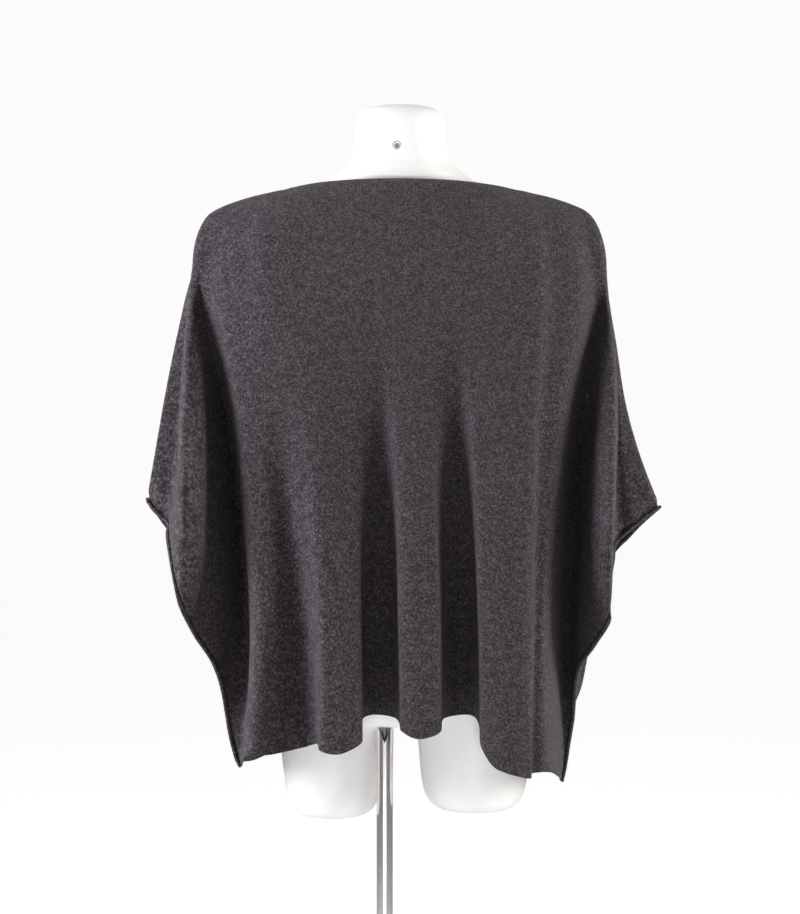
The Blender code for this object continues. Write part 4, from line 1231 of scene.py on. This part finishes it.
@dataclass(frozen=True)
class Form:
    """Moulded torso with its neck, shoulders and thigh stumps in one shell."""

    torso_sides: int = 128
    torso_levels: int = 150
    thigh_sides: int = 72
    thigh_levels: int = 40
    voxel: float = 3.2 * MM
    blend_height: float = 0.90
    blend_passes: int = 10
    flat_size: float = 0.1
    flat_depth: float = 0.0535
    flat_foot: float = 1.4777
    hole_radius: float = 5.2 * MM
    hole_depth: float = 14.0 * MM
    hole_x: float = 0.0035
    hole_height: float = 1.4977
    bush_radius: float = 4.9 * MM
    bush_bore: float = 2.6 * MM
    bush_length: float = 9.0 * MM
    bush_edge: float = 0.5 * MM
    bush_sides: int = 48
    rest_gap: float = 0.3 * MM
    sharp_angle: float = math.radians(40)

    @staticmethod
    def moulded(rings: tuple[Ring, ...], sides: int, levels: int) -> bmesh.types.BMesh:
        """A closed round body through level sections, from a ball pushed out to them."""
        table = np.array(rings)
        first, last = table[0].copy(), table[-1].copy()
        first[2:] = last[2:] = 0.0
        table = np.vstack([first, table, last])
        knots = chord_knots(table[:, [0, 2]])
        bm = bmesh.new()
        bmesh.ops.create_uvsphere(bm, u_segments=sides, v_segments=levels, radius=1.0)
        levels_at = np.linspace(knots[0], knots[-1], levels + 1)
        read = np.stack([np.interp(levels_at, knots, table[:, k]) for k in range(5)], axis=1)
        smooth = smooth_curve(knots[1:-1], table[1:-1], np.clip(levels_at, knots[1], knots[-2]))
        inside = (levels_at > knots[1]) & (levels_at < knots[-2])
        read[inside] = smooth[inside]
        for v in bm.verts:
            level = round(math.acos(max(-1.0, min(1.0, v.co.z))) / math.pi * levels)
            angle = math.atan2(v.co.y, v.co.x)
            z, middle, half_width, back, front = read[level]
            depth = back if v.co.y > 0 else front
            v.co = (middle + half_width * math.cos(angle), depth * math.sin(angle), z)
        bmesh.ops.recalc_face_normals(bm, faces=bm.faces)
        return bm

    def build(self) -> None:
        """Mould the shell, and set the bush in the hole behind its neck."""
        whole = bmesh.new()
        for name, rings, sides, levels in (
            ("torso", TORSO_RINGS, self.torso_sides, self.torso_levels),
            ("left_thigh", LEFT_THIGH_RINGS, self.thigh_sides, self.thigh_levels),
            ("right_thigh", RIGHT_THIGH_RINGS, self.thigh_sides, self.thigh_levels),
        ):
            whole.from_mesh(to_mesh(self.moulded(rings, sides, levels), name))
        worked = linked("moulding", to_mesh(whole, "moulding"))
        remesh = worked.modifiers.new("skin", "REMESH")
        remesh.mode = "VOXEL"
        remesh.voxel_size = self.voxel
        remesh.use_smooth_shade = True
        bm = bmesh.new()
        bm.from_mesh(applied(worked))
        bpy.data.objects.remove(worked, do_unlink=True)
        relax(bm, bm.verts[:])
        relax(bm, [v for v in bm.verts if v.co.z < self.blend_height], self.blend_passes)
        half = self.flat_size / 2
        flat = bmesh.new()
        bmesh.ops.create_cube(flat, size=self.flat_size)
        bmesh.ops.translate(
            flat, verts=flat.verts, vec=(0.0, self.flat_depth + half, self.flat_foot + half)
        )
        hole = turned([
            (0.0, -self.hole_depth),
            (self.hole_radius, -self.hole_depth),
            (self.hole_radius, half),
            (0.0, half),
        ], self.bush_sides)
        self.lay_along_back(hole)
        mesh = carved(bm, flat=flat, hole=hole)
        mesh.shade_smooth()
        mesh.set_sharp_from_angle(angle=self.sharp_angle)
        mesh.name = "display_torso"
        add_piece("display_torso", mesh, [ShellFinish().make()], "shell", "torso_form")
        self.build_bush()

    def lay_along_back(self, bm: bmesh.types.BMesh) -> None:
        """Turn a shape made along +Z to point out of the flat behind the neck."""
        bmesh.ops.rotate(
            bm, verts=bm.verts, cent=(0, 0, 0), matrix=Matrix.Rotation(-math.pi / 2, 3, "X")
        )
        bmesh.ops.translate(bm, verts=bm.verts, vec=(self.hole_x, self.flat_depth, self.hole_height))

    def build_bush(self) -> None:
        """Metal bush at the bottom of the hole."""
        foot = -self.hole_depth + self.rest_gap
        top = foot + self.bush_length
        bush = turned([
            (self.bush_bore, foot),
            (self.bush_radius, foot),
            (self.bush_radius, top),
            (self.bush_bore, top),
        ], self.bush_sides)
        soften_edges(bush, self.bush_edge)
        self.lay_along_back(bush)
        steel = MetalFinish(
            "brushed_steel", (0.93, 0.885, 0.90), roughness=0.42,
            grain_per_metre=(900.0, 60.0, 900.0), grain_height=0.1 * MM,
        )
        mesh = to_mesh(bush, "neck_bush_ring")
        add_piece("neck_bush_ring", mesh, [steel.make()], "bush", "neck_bush")


@dataclass(frozen=True)
class Stand:
    """Polished tube, its clamping ring and the round plate that it stands on."""

    tube_radius: float = 9.5 * MM
    tube_bore: float = 7.8 * MM
    tube_x: float = 0.018
    tube_y: float = 0.052
    tube_top: float = 0.8117
    tube_flare: float = 10.4 * MM
    tube_lip: float = 4.0 * MM
    tube_taper: float = 0.06
    notch_depth: float = 18.0 * MM
    notch_half: float = 8.2 * MM
    plate_radius: float = 0.165
    plate_thickness: float = 8.0 * MM
    plate_chamfer: float = 2.5 * MM
    plate_edge: float = 1.0 * MM
    plate_round: float = 0.4 * MM
    collar_radius: float = 17.5 * MM
    collar_height: float = 28.0 * MM
    collar_chamfer: float = 3.0 * MM
    collar_edge: float = 0.5 * MM
    rest_gap: float = 0.3 * MM
    past: float = 1.0 * MM
    sides: int = 96
    sharp_angle: float = math.radians(35)

    def build(self) -> None:
        """Make the three metal pieces."""
        chrome = MetalFinish(
            "polished_chrome", (0.94, 0.90, 0.885), roughness=0.12,
            grain_per_metre=(300.0, 300.0, 12.0), grain_height=0.02 * MM,
        ).make()
        foot = self.plate_thickness + self.rest_gap
        wall = self.tube_radius - self.tube_bore
        tube = turned([
            (self.tube_bore, foot),
            (self.tube_radius, foot),
            (self.tube_radius, self.tube_top - self.tube_taper),
            (self.tube_flare, self.tube_top - self.tube_lip),
            (self.tube_flare, self.tube_top),
            (self.tube_flare - wall, self.tube_top),
            (self.tube_bore, self.tube_top - self.tube_taper / 2),
        ], self.sides)
        bmesh.ops.translate(tube, verts=tube.verts, vec=(self.tube_x, self.tube_y, 0))
        wedge = bmesh.new()
        corners = (
            (self.tube_x, self.tube_top - self.notch_depth),
            (self.tube_x + self.notch_half, self.tube_top + self.past),
            (self.tube_x - self.notch_half, self.tube_top + self.past),
        )
        around = [wedge.verts.new((x, self.tube_y + self.past, z)) for x, z in corners]
        near = wedge.faces.new(around)
        grown = bmesh.ops.extrude_face_region(wedge, geom=[near])
        far = [g for g in grown["geom"] if isinstance(g, bmesh.types.BMVert)]
        bmesh.ops.translate(wedge, verts=far, vec=(0, 2 * self.tube_flare, 0))
        bmesh.ops.recalc_face_normals(wedge, faces=wedge.faces)
        notched = bmesh.new()
        notched.from_mesh(carved(tube, notch=wedge))
        self.finish_piece("stand_tube", notched, chrome, "pole")
        bore = self.tube_radius + self.rest_gap
        top = foot + self.collar_height
        collar = turned([
            (bore, foot),
            (self.collar_radius, foot),
            (self.collar_radius, top - self.collar_chamfer),
            (self.collar_radius - self.collar_chamfer, top),
            (bore, top),
        ], self.sides)
        soften_edges(collar, self.collar_edge)
        bmesh.ops.translate(collar, verts=collar.verts, vec=(self.tube_x, self.tube_y, 0))
        self.finish_piece("stand_collar", collar, chrome, "pole_collar")
        plate = turned([
            (0.0, 0.0),
            (self.plate_radius - self.plate_edge, 0.0),
            (self.plate_radius, self.plate_edge),
            (self.plate_radius, self.plate_thickness - self.plate_chamfer),
            (self.plate_radius - self.plate_chamfer, self.plate_thickness),
            (0.0, self.plate_thickness),
        ], 2 * self.sides)
        soften_edges(plate, self.plate_round)
        self.finish_piece("stand_plate", plate, chrome, "base_plate")

    def finish_piece(
        self, name: str, bm: bmesh.types.BMesh, finish: bpy.types.Material, node: str
    ) -> None:
        """Dress one metal piece and put it in place of its node."""
        mesh = to_mesh(bm, name)
        mesh.set_sharp_from_angle(angle=self.sharp_angle)
        add_piece(name, mesh, [finish], "chrome", node)


# ---------------------------------------------------------------- studio


@dataclass(frozen=True)
class SoftBox:
    """A large soft lamp, for the whole scene or for the display form alone."""

    name: str
    place: Triple
    size: tuple[float, float]
    power: float
    colour: Triple = (1.0, 1.0, 1.0)
    for_form: bool = False

    def set_up(self, target: Triple, form: bpy.types.Collection) -> None:
        """Add the lamp and turn it to its target.

        Args:
            target: Where the lamp points.
            form: The display form's pieces, which a lamp that is set `for_form` lights alone.
        """
        lamp = bpy.data.lights.new(self.name, "AREA")
        lamp.shape = "RECTANGLE"
        lamp.size, lamp.size_y = self.size
        lamp.energy = self.power
        lamp.color = self.colour
        holder = linked(self.name, lamp)
        holder.location = self.place
        back_from_target = Vector(self.place) - Vector(target)
        holder.rotation_euler = back_from_target.to_track_quat("Z", "Y").to_euler()
        holder.visible_camera = False
        if self.for_form:
            holder.light_linking.receiver_collection = form


@dataclass(frozen=True)
class Studio:
    """Pale floor, surroundings, soft light from both sides, lamps for the form, and the camera."""

    camera_distance: float = 3.0
    camera_height: float = 1.13
    lens: float = 98.5
    sensor: float = 36.0
    floor_size: float = 60.0
    floor_dark: Triple = (0.80, 0.80, 0.80)
    floor_light: Triple = (0.84, 0.84, 0.84)
    floor_clouds_per_metre: float = 1.5
    floor_glow: float = 0.75
    backdrop: float = 0.965
    surround_behind: float = 0.80
    surround_before: float = 0.02
    surround_turn: tuple[float, float] = (-1.0, 0.1)
    lit_point: Triple = (0.0, 0.0, 1.15)
    form_pieces: tuple[str, ...] = ("display_torso", "neck_bush_ring")
    boxes: tuple[SoftBox, ...] = (
        SoftBox("left_box", (2.45, 0.65, 2.0), (1.1, 2.0), 98.0, (1.0, 1.0, 1.05)),
        SoftBox("right_box", (-2.45, 0.65, 1.9), (1.1, 2.0), 72.0, (1.0, 1.0, 0.95)),
        SoftBox("front_box", (0.3, 4.2, 2.2), (2.4, 1.4), 5.0),
        SoftBox("low_box", (0.0, 3.0, 0.10), (2.4, 0.4), 7.0),
        SoftBox("form_box", (0.0, 3.6, 1.70), (1.6, 1.0), 9.0, for_form=True),
        SoftBox("form_low_box", (0.0, 3.0, 0.30), (1.6, 0.4), 22.0, for_form=True),
    )

    def build(self) -> None:
        """Set up the floor, the light and the camera."""
        scene = bpy.context.scene
        self.build_camera(scene)
        self.build_floor()
        self.build_world(scene)
        form = bpy.data.collections.new("display_form")
        for name in self.form_pieces:
            form.objects.link(bpy.data.objects[name])
        for box in self.boxes:
            box.set_up(self.lit_point, form)
        scene.view_settings.view_transform = "Standard"
        scene.view_settings.look = "None"

    def build_camera(self, scene: bpy.types.Scene) -> None:
        """Camera level with the middle of the garment, square to its back."""
        data = bpy.data.cameras.new("camera")
        data.sensor_fit = "VERTICAL"
        data.sensor_height = self.sensor
        data.lens = self.lens
        camera = linked("camera", data)
        camera.location = (0.0, self.camera_distance, self.camera_height)
        camera.rotation_euler = (math.pi / 2, 0.0, math.pi)
        scene.camera = camera

    def build_floor(self) -> None:
        """Plain pale floor."""
        bm = bmesh.new()
        bmesh.ops.create_grid(bm, x_segments=2, y_segments=2, size=self.floor_size / 2)
        mesh = to_mesh(bm, "floor")
        n = Nodes(bpy.data.materials.new("pale_floor"))
        place = n.add("TexCoord").outputs["Object"]
        cloud = n.noise(place, self.floor_clouds_per_metre, 3.0, 0.5)
        n.paint(cloud, self.floor_dark, self.floor_light)
        seen = n.add("LightPath").outputs["Is Camera Ray"]
        n.join(n.math("MULTIPLY", seen, self.floor_glow), n.shader.inputs["Emission Strength"])
        n.set(Roughness=0.7, Specular_IOR_Level=0.2, Emission_Color=(1.0, 1.0, 1.0, 1.0))
        mesh.materials.append(n.owner)
        floor = linked("floor", mesh)

    def build_world(self, scene: bpy.types.Scene) -> None:
        """White behind the garment, and dim towards the camera so that the folds stay deep."""
        n = Nodes(bpy.data.worlds.new("studio"), "Background")
        facing = n.add("SeparateXYZ", n.add("TexCoord").outputs["Generated"]).outputs[1]
        glows = (self.surround_behind, self.surround_before)
        around = n.add("MapRange", facing, *self.surround_turn, *glows).outputs[0]
        seen = n.add("LightPath").outputs["Is Camera Ray"]
        strength = n.add("Mix", seen, None, around, self.backdrop, data_type="FLOAT").outputs[0]
        n.join(strength, n.shader.inputs["Strength"])
        n.set(Color=(1.0, 1.0, 1.0, 1.0))
        scene.world = n.owner


def clear_defaults() -> None:
    """Remove Blender's own starting objects."""
    for name in ("Cube", "Light", "Camera"):
        old = bpy.data.objects.get(name)
        if old is not None:
            bpy.data.objects.remove(old, do_unlink=True)


def main() -> None:
    """Build the studio, the form, its stand and the garment."""
    logging.basicConfig(level=logging.INFO, format="%(name)s: %(message)s")
    clear_defaults()
    Form().build()
    Stand().build()
    Garment().build()
    Studio().build()


if __name__ == "__main__":
    main()
